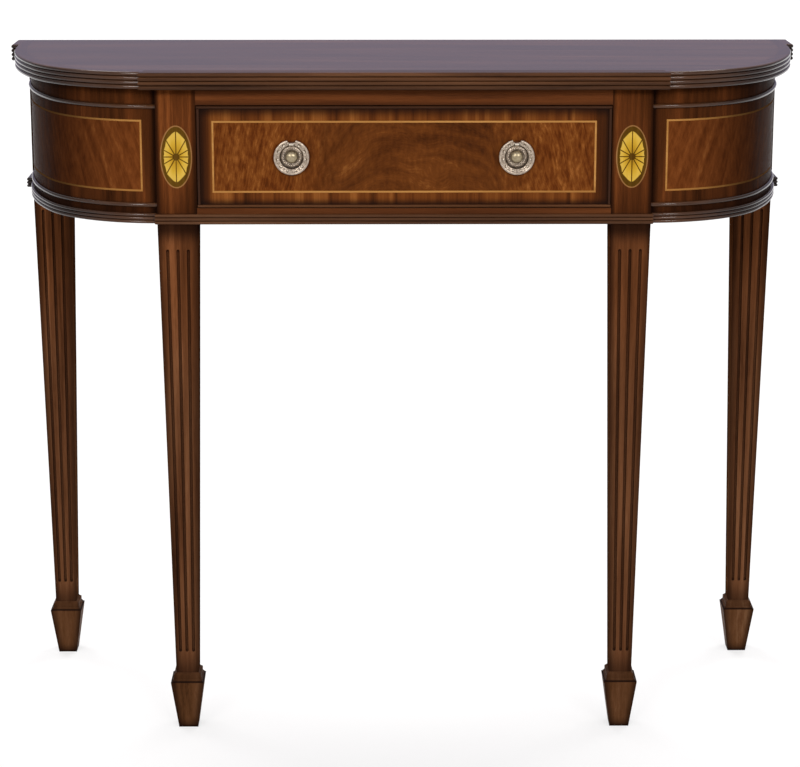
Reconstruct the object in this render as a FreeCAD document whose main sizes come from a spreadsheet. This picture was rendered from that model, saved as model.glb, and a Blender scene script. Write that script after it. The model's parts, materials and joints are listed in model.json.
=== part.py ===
import FreeCAD, Part
import math
import os
import Sketcher

# Demilune side table with a stepped centre, rounded ends, tapered fluted legs and one frieze drawer.
# Frame: +X to the right seen from in front, +Y to the wall, +Z up, origin on the floor under the middle.
# Right-hand pieces are modelled and the left-hand ones are mirrored. Lengths are in millimetres.

DIMENSIONS = {
    # Whole table
    "table_height": 762,
    "top_width": 924,
    "top_depth": 318,
    "top_thick": 19,
    # How far the top reaches past the frame under it
    "front_overhang": 18,
    "step_overhang": 16.5,
    "edge_overhang": 18,
    "ear_overhang": 20.5,
    "back_overhang": 8,
    "ear_length": 50,
    "lip_width": 14,
    # Legs and the square stiles above them
    "post_square": 44,
    "front_leg_x": 249,
    "front_reveal": 8,
    "end_reveal": 5.5,
    "ankle_square": 25.4,
    "flute_radius": 1.7,
    "flute_pitch_high": 11.4,
    "flute_pitch_low": 7.4,
    "flute_below_apron": 30,
    "flute_above_foot": 27,
    # Spade feet
    "toe_square": 22,
    "spade_square": 37.9,
    "shoulder_square": 36.4,
    "collar_square": 31.2,
    "spade_height": 57,
    "shoulder_height": 3.4,
    "collar_height": 4.4,
    "chamfer_height": 2.7,
    "dowel_radius": 5,
    "dowel_length": 44,
    # Apron and rails
    "apron_height": 150,
    "apron_thick": 16,
    "nose_turn": 63.6,
    "back_apron_thick": 18,
    "back_apron_recess": 2,
    "upper_rail_height": 18.5,
    "lower_rail_height": 18,
    "tenon_length": 18,
    "tenon_thick": 10,
    "tenon_shoulder": 3,
    "glue_gap": 0.1,
    # Mouldings and inlay
    "base_height": 11.5,
    "base_backing": 2,
    "front_base_backing": 0.8,
    "rear_base_backing": 4.4,
    "bead_height": 4.8,
    "bead_backing": 0.6,
    "string_width": 2,
    "string_depth": 1,
    "end_string_inset": 16,
    "fan_half_width": 17.6,
    "fan_half_height": 34.6,
    "fan_border": 1.4,
    "petal_half_width": 13.8,
    "petal_half_height": 28,
    "hub_radius": 3.9,
    "petal_gap": 1.15,
    # Drawer
    "drawer_gap": 0.8,
    "drawer_front_thick": 20,
    "cockbead_thick": 3.2,
    "cockbead_depth": 10,
    "cockbead_proud": 2,
    "crossband_width": 13.2,
    "drawer_side_thick": 10,
    "side_inset": 3,
    "run_gap": 0.3,
    "guide_gap": 0.8,
    "tip_gap": 1.2,
    "tail_length": 12,
    "tail_wide": 20,
    "tail_narrow": 14,
    "drawer_back_thick": 8,
    "drawer_back_space": 8,
    "bottom_thick": 5,
    "bottom_height": 9,
    "groove_depth": 4,
    "back_drop": 8,
    # Drawer runners, kickers, stops, glue blocks and screws
    "runner_width": 45,
    "runner_thick": 14,
    "guide_height": 30,
    "kicker_width": 25,
    "stop_x": 60,
    "stop_width": 30,
    "stop_length": 16,
    "stop_height": 6,
    "block_width": 50,
    "block_size": 17,
    "rail_screw_x": 120,
    "screw_radius": 2,
    "screw_head_radius": 4,
    "screw_head_height": 3,
    "screw_bite": 12,
    # Ring pulls
    "pull_x": 122.9,
    "plate_radius": 12,
    "plate_thick": 1.6,
    "plate_bead_radius": 9,
    "plate_bead_wire": 1.6,
    "boss_radius": 6.2,
    "boss_height": 4,
    "ring_radius": 16.2,
    "ring_wire": 3.3,
    "ring_clear": 0.6,
    "ring_end_gap": 0.3,
    "lug_width": 7,
    "lug_reach": 1.8,
    "pivot_drop": 0.5,
    "pivot_radius": 1.2,
    "pivot_play": 0.08,
    "stud_radius": 2,
    "stud_play": 0.2,
    "nut_radius": 4.6,
    "nut_thick": 3,
    "stud_spare": 1,
}
TOP_REEDS = 4
BASE_REEDS = 3
FLUTES = (-1, 0, 1)
PETALS = 12
TAILS = 4
NUT_SIDES = 6

# Where things are, as formulas of the sizes above
HALF_WIDTH = "dims.top_width / 2"
TOP_FRONT = "(-dims.top_depth / 2)"
TOP_BACK = "(dims.top_depth / 2)"
UNDER_TOP = "(dims.table_height - dims.top_thick)"
TOP_REED = f"(dims.top_thick / {2 * TOP_REEDS})"
POST_FRONT = f"({TOP_FRONT} + dims.front_overhang)"
POST_BACK = f"({POST_FRONT} + dims.post_square)"
POST_OUTER = "(dims.front_leg_x + dims.post_square / 2)"
POST_INNER = "(dims.front_leg_x - dims.post_square / 2)"
STEP_X = f"({POST_OUTER} + dims.step_overhang)"
REAR_OUTER = f"({HALF_WIDTH} - dims.ear_overhang)"
REAR_INNER = f"({REAR_OUTER} - dims.post_square)"
REAR_BACK = f"({TOP_BACK} - dims.back_overhang)"
REAR_FRONT = f"({REAR_BACK} - dims.post_square)"
REAR_LEG_X = f"({REAR_OUTER} - dims.post_square / 2)"
APRON_LOW = f"({UNDER_TOP} - dims.apron_height)"
OPENING_LOW = f"({APRON_LOW} + dims.lower_rail_height)"
OPENING_HIGH = f"({UNDER_TOP} - dims.upper_rail_height)"
MIDDLE_Z = f"(({OPENING_LOW} + {OPENING_HIGH}) / 2)"
SHOULDER_TOP = "(dims.spade_height + dims.shoulder_height)"
COLLAR_TOP = f"({SHOULDER_TOP} + dims.collar_height)"
FOOT_TOP = f"({COLLAR_TOP} + dims.chamfer_height)"
BACK_APRON_BACK = f"({REAR_BACK} - dims.back_apron_recess)"
BACK_APRON_FRONT = f"({BACK_APRON_BACK} - dims.back_apron_thick)"

# The rounded end is a quarter oval of two arcs that meet smoothly: a tight nose, which turns through its own
# angle, and a long side, which turns through the rest. That angle and the oval's two sides give both radii.
CURVE_START = f"({POST_FRONT} + dims.front_reveal)"
CURVE_END = f"({REAR_OUTER} - dims.end_reveal)"
CURVE_WIDTH = f"({CURVE_END} - {POST_OUTER})"
CURVE_DEPTH = f"({REAR_FRONT} - {CURVE_START})"
NOSE_ANGLE = "(dims.nose_turn * 1 deg)"
NOSE_SINE = f"sin({NOSE_ANGLE})"
NOSE_COSINE = f"cos({NOSE_ANGLE})"
NOSE_RADIUS = (f"(({CURVE_WIDTH} * {NOSE_COSINE} - {CURVE_DEPTH} * (1 - {NOSE_SINE}))"
               f" / ({NOSE_SINE} + {NOSE_COSINE} - 1))")
SIDE_RADIUS = (f"(({CURVE_DEPTH} * {NOSE_SINE} - {CURVE_WIDTH} * (1 - {NOSE_COSINE}))"
               f" / ({NOSE_SINE} + {NOSE_COSINE} - 1))")
NOSE_CENTRE = (POST_OUTER, f"({CURVE_START} + {NOSE_RADIUS})")
SIDE_CENTRE = (f"({CURVE_END} - {SIDE_RADIUS})", REAR_FRONT)

X_AXIS = FreeCAD.Vector(1, 0, 0)
Y_AXIS = FreeCAD.Vector(0, 1, 0)
Z_AXIS = FreeCAD.Vector(0, 0, 1)
# Section planes: the first sketch axis points outwards from the table's middle and the second one up
FACING_FRONT = FreeCAD.Rotation(-Y_AXIS, Z_AXIS, -X_AXIS, "XYZ")
FACING_SIDE = FreeCAD.Rotation(X_AXIS, Z_AXIS, -Y_AXIS, "XYZ")
# A round piece that points forwards, and an upright oval on the front
POINTING_FRONT = FACING_SIDE
UPRIGHT_OVAL = FreeCAD.Rotation(Z_AXIS, X_AXIS, Y_AXIS, "XYZ")
FLAT = FreeCAD.Rotation()

doc = FreeCAD.newDocument("demilune_table")
dims = doc.addObject("Spreadsheet::Sheet", "dims")
for row, (alias, size) in enumerate(DIMENSIONS.items(), start=1):
    dims.set(f"A{row}", alias)
    dims.set(f"B{row}", str(size))
    dims.setAlias(f"B{row}", alias)
doc.recompute()
nodes = {}


def value(formula):
    """The number that a formula of the sizes gives."""
    return float(dims.evalExpression(str(formula)))


def bind(obj, sizes):
    """Ties properties of an object to formulas of the sizes."""
    for name, formula in sizes.items():
        obj.setExpression(name, str(formula))


def place(obj, at, turn=FLAT):
    """Puts an object at a point given by three formulas, turned by a fixed rotation."""
    obj.Placement = FreeCAD.Placement(FreeCAD.Vector(), turn)
    bind(obj, {f"Placement.Base.{axis}": formula for axis, formula in zip("xyz", at)})


def node(label, obj):
    """Names a finished sub-part."""
    obj.Label = label
    nodes[label] = obj
    return obj


# Solids and booleans


def box(name, x, y, z):
    """A block between two formulas along each axis."""
    obj = doc.addObject("Part::Box", name)
    spans = {"Length": x, "Width": y, "Height": z}
    bind(obj, {size: f"({high}) - ({low})" for size, (low, high) in spans.items()})
    place(obj, (x[0], y[0], z[0]))
    return obj


def cylinder(name, radius, length, at, turn=FLAT):
    obj = doc.addObject("Part::Cylinder", name)
    bind(obj, {"Radius": radius, "Height": length})
    place(obj, at, turn)
    return obj


def pyramid(name, low_square, high_square, low, high):
    """An upright square block about the origin's axis, tapering from one square to another."""
    obj = doc.addObject("Part::Wedge", name)
    bind(obj, {"Ymin": low, "Ymax": high})
    for axis in "XZ":
        bind(obj, {f"{axis}min": f"-{low_square} / 2", f"{axis}max": f"{low_square} / 2"})
        bind(obj, {f"{axis}2min": f"-{high_square} / 2", f"{axis}2max": f"{high_square} / 2"})
    place(obj, ("0", "0", "0"), FreeCAD.Rotation(X_AXIS, 90))
    return obj


def cut(name, base, *tools):
    """The base without the tools."""
    obj = doc.addObject("Part::Cut", name)
    obj.Base = base
    obj.Tool = tools[0] if len(tools) == 1 else group(f"{name}_tools", tools)
    return obj


def fuse(name, *pieces):
    obj = doc.addObject("Part::MultiFuse", name)
    obj.Shapes = list(pieces)
    return obj


def common(name, first, second):
    obj = doc.addObject("Part::Common", name)
    obj.Base = first
    obj.Tool = second
    return obj


def group(name, pieces):
    """Separate solids kept together."""
    obj = doc.addObject("Part::Compound", name)
    obj.Links = list(pieces)
    return obj


def placed(name, source, at, turn=FLAT):
    """A copy of a solid at another place."""
    obj = group(name, [source])
    place(obj, at, turn)
    return obj


def mirrored(name, source):
    """The left-hand twin of a right-hand piece."""
    obj = doc.addObject("Part::Mirroring", name)
    obj.Source = source
    obj.Base = FreeCAD.Vector()
    obj.Normal = X_AXIS
    return obj


def pair(label, right):
    """The right-hand sub-part and its mirror image on the left."""
    node(f"right_{label}", right)
    node(f"left_{label}", mirrored(f"left_{label}", right))


# Sketched sections


def outline(name, steps, at=("0", "0", "0"), turn=FLAT):
    """A closed sketch. A step is (x, y), a straight side to that corner, or (x, y, centre x, centre y),
    an anticlockwise arc to it about that centre."""
    sketch = doc.addObject("Sketcher::SketchObject", name)
    corners = [FreeCAD.Vector(value(step[0]), value(step[1]), 0) for step in steps]
    for index, step in enumerate(steps):
        start, end = corners[index - 1], corners[index]
        if len(step) == 2:
            sketch.addGeometry(Part.LineSegment(start, end))
            continue
        centre = FreeCAD.Vector(value(step[2]), value(step[3]), 0)
        angles = [math.atan2(point.y - centre.y, point.x - centre.x) for point in (start, end)]
        circle = Part.Circle(centre, Z_AXIS, (start - centre).Length)
        sketch.addGeometry(Part.ArcOfCircle(circle, *angles))
    for index, step in enumerate(steps):
        sketch.addConstraint(Sketcher.Constraint("Coincident", index, 2, (index + 1) % len(steps), 1))
        tie(sketch, "DistanceX", index, 2, step[0])
        tie(sketch, "DistanceY", index, 2, step[1])
        if len(step) > 2:
            chord = corners[index] - corners[index - 1]
            if abs(chord.y) >= abs(chord.x):
                tie(sketch, "DistanceX", index, 3, step[2])
            else:
                tie(sketch, "DistanceY", index, 3, step[3])
    place(sketch, at, turn)
    return sketch


def tie(sketch, kind, geometry, point, formula):
    """Ties one coordinate of a sketch point to a formula."""
    name = f"{kind}_{geometry}_{point}"
    made = sketch.addConstraint(Sketcher.Constraint(kind, -1, 1, geometry, point, value(formula)))
    sketch.renameConstraint(made, name)
    sketch.setExpression(f"Constraints.{name}", str(formula))


def plain_section(inner, outer, low, high):
    return [(inner, low), (outer, low), (outer, high), (inner, high)]


def reeded_section(inner, outer, low, height, count):
    """A strip whose outer edge is a row of half-round reeds."""
    reed = f"(({height}) / {2 * count})"
    steps = [(inner, low), (outer, low)]
    for index in range(count):
        top = f"({low}) + {2 * index + 2} * {reed}"
        steps.append((outer, top, outer, f"({low}) + {2 * index + 1} * {reed}"))
    return steps + [(inner, f"({low}) + ({height})")]


def extruded(name, sketch, direction, length):
    obj = doc.addObject("Part::Extrusion", name)
    obj.Base = sketch
    obj.DirMode = "Custom"
    obj.Dir = direction
    obj.Solid = True
    bind(obj, {"LengthFwd": length})
    return obj


def revolved(name, sketch, axis, centre, angle):
    obj = doc.addObject("Part::Revolution", name)
    obj.Source = sketch
    obj.Axis = axis
    obj.Solid = True
    bind(obj, {"Base.x": centre[0], "Base.y": centre[1], "Angle": angle})
    return obj


def round_the_end(name, section, tail=None):
    """A section carried round the right-hand end from the front stile to the rear one, and then straight on.
    Its first coordinate is the distance outwards from the face of the apron."""
    front = outline(f"{name}_front_section", section, (POST_OUTER, CURVE_START, 0), FACING_FRONT)
    rear = outline(f"{name}_rear_section", section, (CURVE_END, REAR_FRONT, 0), FACING_SIDE)
    stretches = [
        revolved(f"{name}_nose", front, Z_AXIS, NOSE_CENTRE, NOSE_ANGLE),
        revolved(f"{name}_side", rear, -Z_AXIS, SIDE_CENTRE, f"90 deg - {NOSE_ANGLE}"),
    ]
    if tail:
        stretches.append(extruded(f"{name}_tail", rear, Y_AXIS, tail))
    return fuse(f"{name}_run", *stretches)


def oval(name, half_width, half_height, depth):
    """An upright oval plate let into the face of the right-hand front stile."""
    curve = doc.addObject("Part::Ellipse", f"{name}_curve")
    bind(curve, {"MajorRadius": half_height, "MinorRadius": half_width})
    place(curve, ("dims.front_leg_x", POST_FRONT, MIDDLE_Z), UPRIGHT_OVAL)
    return extruded(name, curve, Y_AXIS, depth)


# Top board with reeded lippings


def top_edge_section(inner):
    return reeded_section(inner, f"dims.edge_overhang - {TOP_REED}", UNDER_TOP, "dims.top_thick", TOP_REEDS)


LIP_INNER = "(dims.edge_overhang - dims.lip_width)"
LIP_START = f"({STEP_X} - 2 * {TOP_REED})"
tail_length = f"{TOP_BACK} - {REAR_FRONT}"
end_lip_run = round_the_end("end_lip", top_edge_section(LIP_INNER), tail_length)
before_step = box("before_step", ("0", LIP_START), (TOP_FRONT, TOP_BACK), (UNDER_TOP, "dims.table_height"))
end_lip = cut("end_lip", end_lip_run, before_step)
pair("top_edge", end_lip)


def reeded_block(name, reeds, x, y, both_ends):
    """A block with reeds along its front and along its right-hand end or both ends, which meet in mitres."""
    low, height, count = reeds
    reed = f"({height} / {2 * count})"
    facing = reeded_section(f"-({y[1]})", f"-({y[0]}) - {reed}", low, height, count)
    front_sketch = outline(f"{name}_front_section", facing, (x[0], 0, 0), FACING_FRONT)
    front_run = extruded(f"{name}_front_run", front_sketch, X_AXIS, f"({x[1]}) - ({x[0]})")
    inner = f"({x[0]}) + {reed}" if both_ends else x[0]
    across_ends = reeded_section(inner, f"({x[1]}) - {reed}", low, height, count)
    if both_ends:
        across_ends = reeded_inside(across_ends, inner, low, reed, count)
    end_sketch = outline(f"{name}_end_section", across_ends, (0, y[0], 0), FACING_SIDE)
    end_run = extruded(f"{name}_end_run", end_sketch, Y_AXIS, f"({y[1]}) - ({y[0]})")
    return common(f"{name}_block", front_run, end_run)


def reeded_inside(steps, inner, low, reed, count):
    """The same section with reeds on its inner edge too."""
    for index in reversed(range(count)):
        bottom = f"({low}) + {2 * index} * {reed}"
        steps = steps + [(inner, bottom, inner, f"({low}) + {2 * index + 1} * {reed}")]
    return steps[1:]


top_reeds = (UNDER_TOP, "dims.top_thick", TOP_REEDS)
lip_back = f"({CURVE_START} - dims.edge_overhang + dims.lip_width)"
lip_x = (f"-{STEP_X}", STEP_X)
front_lip = reeded_block("front_lip", top_reeds, lip_x, (TOP_FRONT, lip_back), both_ends=True)
node("top_edge_front", cut("top_edge_front", front_lip, nodes["right_top_edge"], nodes["left_top_edge"]))

ear_x = (f"{CURVE_END} + {LIP_INNER}", HALF_WIDTH)
ear_y = (f"({TOP_BACK} - dims.ear_length)", TOP_BACK)
pair("top_ear", cut("top_ear", reeded_block("ear", top_reeds, ear_x, ear_y, both_ends=False), end_lip))

inner_nose = f"({NOSE_RADIUS} + {LIP_INNER})"
board_side = f"({CURVE_END} + {LIP_INNER})"
nose_start = f"({NOSE_CENTRE[1]} - sqrt({inner_nose}^2 - ({LIP_START} - {NOSE_CENTRE[0]})^2))"
junction = (f"({NOSE_CENTRE[0]} + {inner_nose} * {NOSE_SINE})",
            f"({NOSE_CENTRE[1]} - {inner_nose} * {NOSE_COSINE})")
board_steps = [
    (f"-{LIP_START}", lip_back),
    (LIP_START, lip_back),
    (LIP_START, nose_start),
    (*junction, *NOSE_CENTRE),
    (board_side, REAR_FRONT, *SIDE_CENTRE),
    (board_side, TOP_BACK),
    (f"-{board_side}", TOP_BACK),
    (f"-{board_side}", REAR_FRONT),
    (f"-{junction[0]}", junction[1], f"-{SIDE_CENTRE[0]}", SIDE_CENTRE[1]),
    (f"-{LIP_START}", nose_start, f"-{NOSE_CENTRE[0]}", NOSE_CENTRE[1]),
]
board_sketch = outline("top_board_outline", board_steps, (0, 0, UNDER_TOP))
top_board = extruded("top_board", board_sketch, Z_AXIS, "dims.top_thick")

# Inlay: stringing on the end aprons and a fan of petals on each front stile

STRING_INSET = "(dims.drawer_gap + dims.cockbead_thick + dims.crossband_width)"
STRING_LOW = f"({OPENING_LOW} + {STRING_INSET})"
STRING_HIGH = f"({OPENING_HIGH} - {STRING_INSET})"
string_skin = round_the_end("string_skin", plain_section("-dims.string_depth", "0", STRING_LOW, STRING_HIGH))
string_front = f"({POST_OUTER} + dims.end_string_inset)"
string_rear = f"({REAR_FRONT} - dims.end_string_inset)"
inner_front = f"({string_front} + dims.string_width)"
inner_rear = f"({string_rear} - dims.string_width)"
inner_low = f"({STRING_LOW} + dims.string_width)"
inner_high = f"({STRING_HIGH} - dims.string_width)"
upright_z = (STRING_LOW, STRING_HIGH)
level_x = (inner_front, HALF_WIDTH)
level_y = (POST_FRONT, inner_rear)
string_spans = {
    "front": ((string_front, inner_front), (POST_FRONT, REAR_FRONT), upright_z),
    "rear": (level_x, (inner_rear, string_rear), upright_z),
    "low": (level_x, level_y, (STRING_LOW, inner_low)),
    "high": (level_x, level_y, (inner_high, STRING_HIGH)),
}
end_strings = [common(f"end_string_{name}", string_skin, box(f"end_string_{name}_span", *span))
               for name, span in string_spans.items()]
end_stringing = group("end_stringing", end_strings)
pair("end_stringing", end_stringing)

fan_pocket = oval("fan_pocket", "dims.fan_half_width", "dims.fan_half_height", "dims.string_depth")
fan_field = oval("fan_field", "dims.fan_half_width - dims.fan_border",
                 "dims.fan_half_height - dims.fan_border", "dims.string_depth")
pair("fan_border", cut("fan_border", fan_pocket, fan_field))


def petal(index):
    """One petal of the fan: a wedge of an oval between two rays from the hub, half a gap away from each."""
    half_turn = math.pi / PETALS
    middle = (2 * index + 1) * half_turn
    half_width, half_height = value("dims.petal_half_width"), value("dims.petal_half_height")
    hub, half_gap = value("dims.hub_radius"), value("dims.petal_gap") / 2

    def ray(angle):
        return FreeCAD.Vector(math.cos(angle), 0, math.sin(angle))

    def to_oval(start, along):
        """Where a line from a point inside the oval meets it, with the oval drawn in to a circle."""
        from_middle, step = [FreeCAD.Vector(each.x / half_width, 0, each.z / half_height)
                             for each in (start, along)]
        square, slant = step.dot(step), from_middle.dot(step)
        short = 1 - from_middle.dot(from_middle)
        return start + along * ((math.sqrt(slant ** 2 + square * short) - slant) / square)

    def side(angle, turn):
        """The root and the tip of a petal along one of its rays."""
        aside = ray(angle + turn * math.pi / 2) * half_gap
        return ray(angle) * hub + aside, to_oval(aside, ray(angle))

    root_a, tip_a = side(middle - half_turn, 1)
    root_b, tip_b = side(middle + half_turn, -1)
    tip = to_oval(FreeCAD.Vector(), ray(middle))
    edges = [
        Part.makeLine(root_a, tip_a),
        Part.Arc(tip_a, tip, tip_b).toShape(),
        Part.makeLine(tip_b, root_b),
        Part.makeLine(root_b, root_a),
    ]
    return Part.Face(Part.Wire(edges)).extrude(Y_AXIS * value("dims.string_depth"))


fan_petals = doc.addObject("Part::Feature", "fan_petals")
fan_petals.Shape = Part.makeCompound([petal(index) for index in range(PETALS)])
place(fan_petals, ("dims.front_leg_x", POST_FRONT, MIDDLE_Z))
pair("fan_petals", fan_petals)
pair("fan_ground", cut("fan_ground", fan_field, fan_petals))

# End aprons with their beads and base mouldings

tenon_z = (f"{APRON_LOW} + dims.tenon_shoulder", f"{UNDER_TOP} - dims.tenon_shoulder")
apron_middle_y = f"({CURVE_START} + dims.apron_thick / 2)"
apron_middle_x = f"({CURVE_END} - dims.apron_thick / 2)"


def across(middle, thick, spare="0"):
    """A span of a thickness about its middle, with some spare room on both sides."""
    return (f"({middle}) - ({thick}) / 2 - {spare}", f"({middle}) + ({thick}) / 2 + {spare}")


def grown(span, spare):
    return (f"({span[0]}) - {spare}", f"({span[1]}) + {spare}")


apron_shell = round_the_end("end_apron", plain_section("-dims.apron_thick", "0", APRON_LOW, UNDER_TOP))
front_tenon = ((f"{POST_OUTER} - dims.tenon_length", POST_OUTER),
               across(apron_middle_y, "dims.tenon_thick"), tenon_z)
rear_tenon = (across(apron_middle_x, "dims.tenon_thick"),
              (REAR_FRONT, f"{REAR_FRONT} + dims.tenon_length"), tenon_z)
apron_blank = fuse("end_apron_blank", apron_shell, box("apron_front_tenon", *front_tenon),
                   box("apron_rear_tenon", *rear_tenon))
end_apron = cut("end_apron_grooved", apron_blank, end_stringing)
pair("end_apron", end_apron)

# The beads run on at the height of the drawer's cock beads
COCKBEAD_INSET = "(dims.drawer_gap + dims.cockbead_thick / 2)"
bead_heights = {"lower": f"{OPENING_LOW} + {COCKBEAD_INSET}", "upper": f"{OPENING_HIGH} - {COCKBEAD_INSET}"}
for level, middle in bead_heights.items():
    bead = reeded_section("0", "dims.bead_backing", f"{middle} - dims.bead_height / 2", "dims.bead_height", 1)
    pair(f"{level}_bead", round_the_end(f"{level}_bead", bead))

base_section = reeded_section("0", "dims.base_backing", APRON_LOW, "dims.base_height", BASE_REEDS)
end_base = round_the_end("end_base", base_section)
pair("base_moulding", end_base)

base_reeds = (APRON_LOW, "dims.base_height", BASE_REEDS)
BASE_REED = f"dims.base_height / {2 * BASE_REEDS}"
FRONT_PROUD = f"(dims.front_base_backing + {BASE_REED})"
REAR_PROUD = f"(dims.rear_base_backing + {BASE_REED})"
base_z = (APRON_LOW, f"{APRON_LOW} + dims.base_height")
front_reach = f"({POST_OUTER} + {FRONT_PROUD})"
front_base = reeded_block("front_base", base_reeds, (f"-{front_reach}", front_reach),
                          (f"{POST_FRONT} - {FRONT_PROUD}", CURVE_START), both_ends=True)
front_core = box("front_core", (f"-{POST_OUTER}", POST_OUTER), (POST_FRONT, CURVE_START), base_z)
node("base_moulding_front",
     cut("base_moulding_front", front_base, front_core, end_base, nodes["left_base_moulding"]))

rear_base = reeded_block("rear_base", base_reeds, (CURVE_END, f"{REAR_OUTER} + {REAR_PROUD}"),
                         (f"{REAR_FRONT} - {REAR_PROUD}", REAR_BACK), both_ends=False)
rear_core = box("rear_core", (CURVE_END, REAR_OUTER), (REAR_FRONT, REAR_BACK), base_z)
pair("rear_base_moulding", cut("rear_base_cut", rear_base, rear_core, end_base))

# Front rails and back apron, tenoned into the legs

rail_middle_y = f"({POST_FRONT} + dims.post_square / 2)"
back_middle_y = f"({BACK_APRON_FRONT} + dims.back_apron_thick / 2)"


def rail(name, inner, y, middle_y, z):
    """A rail between two legs with a tenon at each end, and the span of its right-hand tenon."""
    body = box(f"{name}_body", (f"-{inner}", inner), y, z)
    reach = f"({inner} + dims.tenon_length)"
    tenon = (across(middle_y, "dims.tenon_thick"), grown(z, "(-dims.tenon_shoulder)"))
    return fuse(name, body, box(f"{name}_tenons", (f"-{reach}", reach), *tenon)), ((inner, reach), *tenon)


front_y = (POST_FRONT, POST_BACK)
upper_rail, upper_tenon = rail("upper_rail", POST_INNER, front_y, rail_middle_y, (OPENING_HIGH, UNDER_TOP))
lower_rail, lower_tenon = rail("lower_rail", POST_INNER, front_y, rail_middle_y, (APRON_LOW, OPENING_LOW))
back_rail, back_tenon = rail("back_rail", REAR_INNER, (BACK_APRON_FRONT, BACK_APRON_BACK), back_middle_y,
                             (APRON_LOW, UNDER_TOP))
node("lower_front_rail", lower_rail)
node("back_apron", back_rail)

# Tapered legs with three flutes on each face, standing on spade feet

FLUTE_LOW = f"({FOOT_TOP} + dims.flute_above_foot)"
FLUTE_HIGH = f"({APRON_LOW} - dims.flute_below_apron)"


def leg_square(z):
    """The width of the tapered shaft at a height."""
    return (f"(dims.ankle_square + (dims.post_square - dims.ankle_square) * ({z} - {FOOT_TOP})"
            f" / ({APRON_LOW} - {FOOT_TOP}))")


def flute(index):
    """A round-ended groove along the front face of a shaft, leaning with the taper of the face."""
    low = (f"({index} * dims.flute_pitch_low)", f"(-{leg_square(FLUTE_LOW)} / 2)", FLUTE_LOW)
    high = (f"({index} * dims.flute_pitch_high)", f"(-{leg_square(FLUTE_HIGH)} / 2)", FLUTE_HIGH)
    lean = [f"({there} - {here})" for here, there in zip(low, high)]
    length = f"sqrt({lean[0]}^2 + {lean[1]}^2 + {lean[2]}^2)"
    half_capsule = [
        ("0", "-dims.flute_radius"),
        ("dims.flute_radius", "0", "0", "0"),
        ("dims.flute_radius", length),
        ("0", f"{length} + dims.flute_radius", "0", length),
    ]
    name = f"flute_{index + 1}"
    sketch = outline(f"{name}_section", half_capsule, turn=FACING_SIDE)
    groove = placed(name, revolved(f"{name}_capsule", sketch, Z_AXIS, ("0", "0"), "360 deg"), low)
    turn = "Placement.Rotation"
    bind(groove, {f"{turn}.Axis.x": f"-{lean[1]}", f"{turn}.Axis.y": lean[0], f"{turn}.Axis.z": "0",
                  f"{turn}.Angle": f"acos({lean[2]} / {length})"})
    return groove


face_flutes = group("face_flutes", [flute(index) for index in FLUTES])
all_flutes = [placed(f"flutes_face_{face}", face_flutes, ("0", "0", "0"), FreeCAD.Rotation(Z_AXIS, 90 * face))
              for face in range(4)]
shaft_blank = pyramid("shaft_blank", "dims.ankle_square", "dims.post_square", FOOT_TOP, APRON_LOW)
dowel_low = f"{FOOT_TOP} - dims.dowel_length / 2"
dowel_hole_radius = "dims.dowel_radius + dims.glue_gap"
dowel_hole = cylinder("dowel_hole", dowel_hole_radius, "dims.dowel_length + 2 * dims.glue_gap",
                      ("0", "0", f"{dowel_low} - dims.glue_gap"))
shaft = cut("shaft", shaft_blank, *all_flutes, dowel_hole)

foot_parts = [
    pyramid("spade", "dims.toe_square", "dims.spade_square", "0", "dims.spade_height"),
    pyramid("foot_shoulder", "dims.shoulder_square", "dims.collar_square", "dims.spade_height", SHOULDER_TOP),
    pyramid("foot_collar", "dims.collar_square", "dims.collar_square", SHOULDER_TOP, COLLAR_TOP),
    pyramid("foot_chamfer", "dims.collar_square", "dims.ankle_square", COLLAR_TOP, FOOT_TOP),
]
spade_foot = cut("spade_foot", fuse("spade_foot_blank", *foot_parts), dowel_hole)
foot_dowel = cylinder("foot_dowel", "dims.dowel_radius", "dims.dowel_length", ("0", "0", dowel_low))

leg_places = {
    "front": ("dims.front_leg_x", f"{POST_FRONT} + dims.post_square / 2"),
    "rear": (REAR_LEG_X, f"{REAR_FRONT} + dims.post_square / 2"),
}
mortises = {"front": [upper_tenon, lower_tenon, front_tenon], "rear": [back_tenon, rear_tenon]}
dowels = []
for end, (leg_x, leg_y) in leg_places.items():
    post = box(f"{end}_post", across(leg_x, "dims.post_square"), across(leg_y, "dims.post_square"),
               (APRON_LOW, UNDER_TOP))
    leg_blank = fuse(f"{end}_leg_blank", post, placed(f"{end}_shaft", shaft, (leg_x, leg_y, "0")))
    holes = [box(f"{end}_mortise_{number}", *[grown(span, "dims.glue_gap") for span in tenon])
             for number, tenon in enumerate(mortises[end])]
    if end == "front":
        holes.append(fan_pocket)
    leg = cut(f"{end}_leg_cut", leg_blank, *holes)
    node(f"{end}_right_leg", leg)
    node(f"{end}_left_leg", mirrored(f"{end}_left_leg", leg))
    foot = placed(f"{end}_foot", spade_foot, (leg_x, leg_y, "0"))
    node(f"{end}_right_foot", foot)
    node(f"{end}_left_foot", mirrored(f"{end}_left_foot", foot))
    dowel = placed(f"{end}_dowel", foot_dowel, (leg_x, leg_y, "0"))
    dowels += [dowel, mirrored(f"{end}_left_dowel", dowel)]
node("foot_dowels", group("foot_dowels", dowels))

# Runners, kickers, stops and glue blocks inside the carcass

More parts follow.
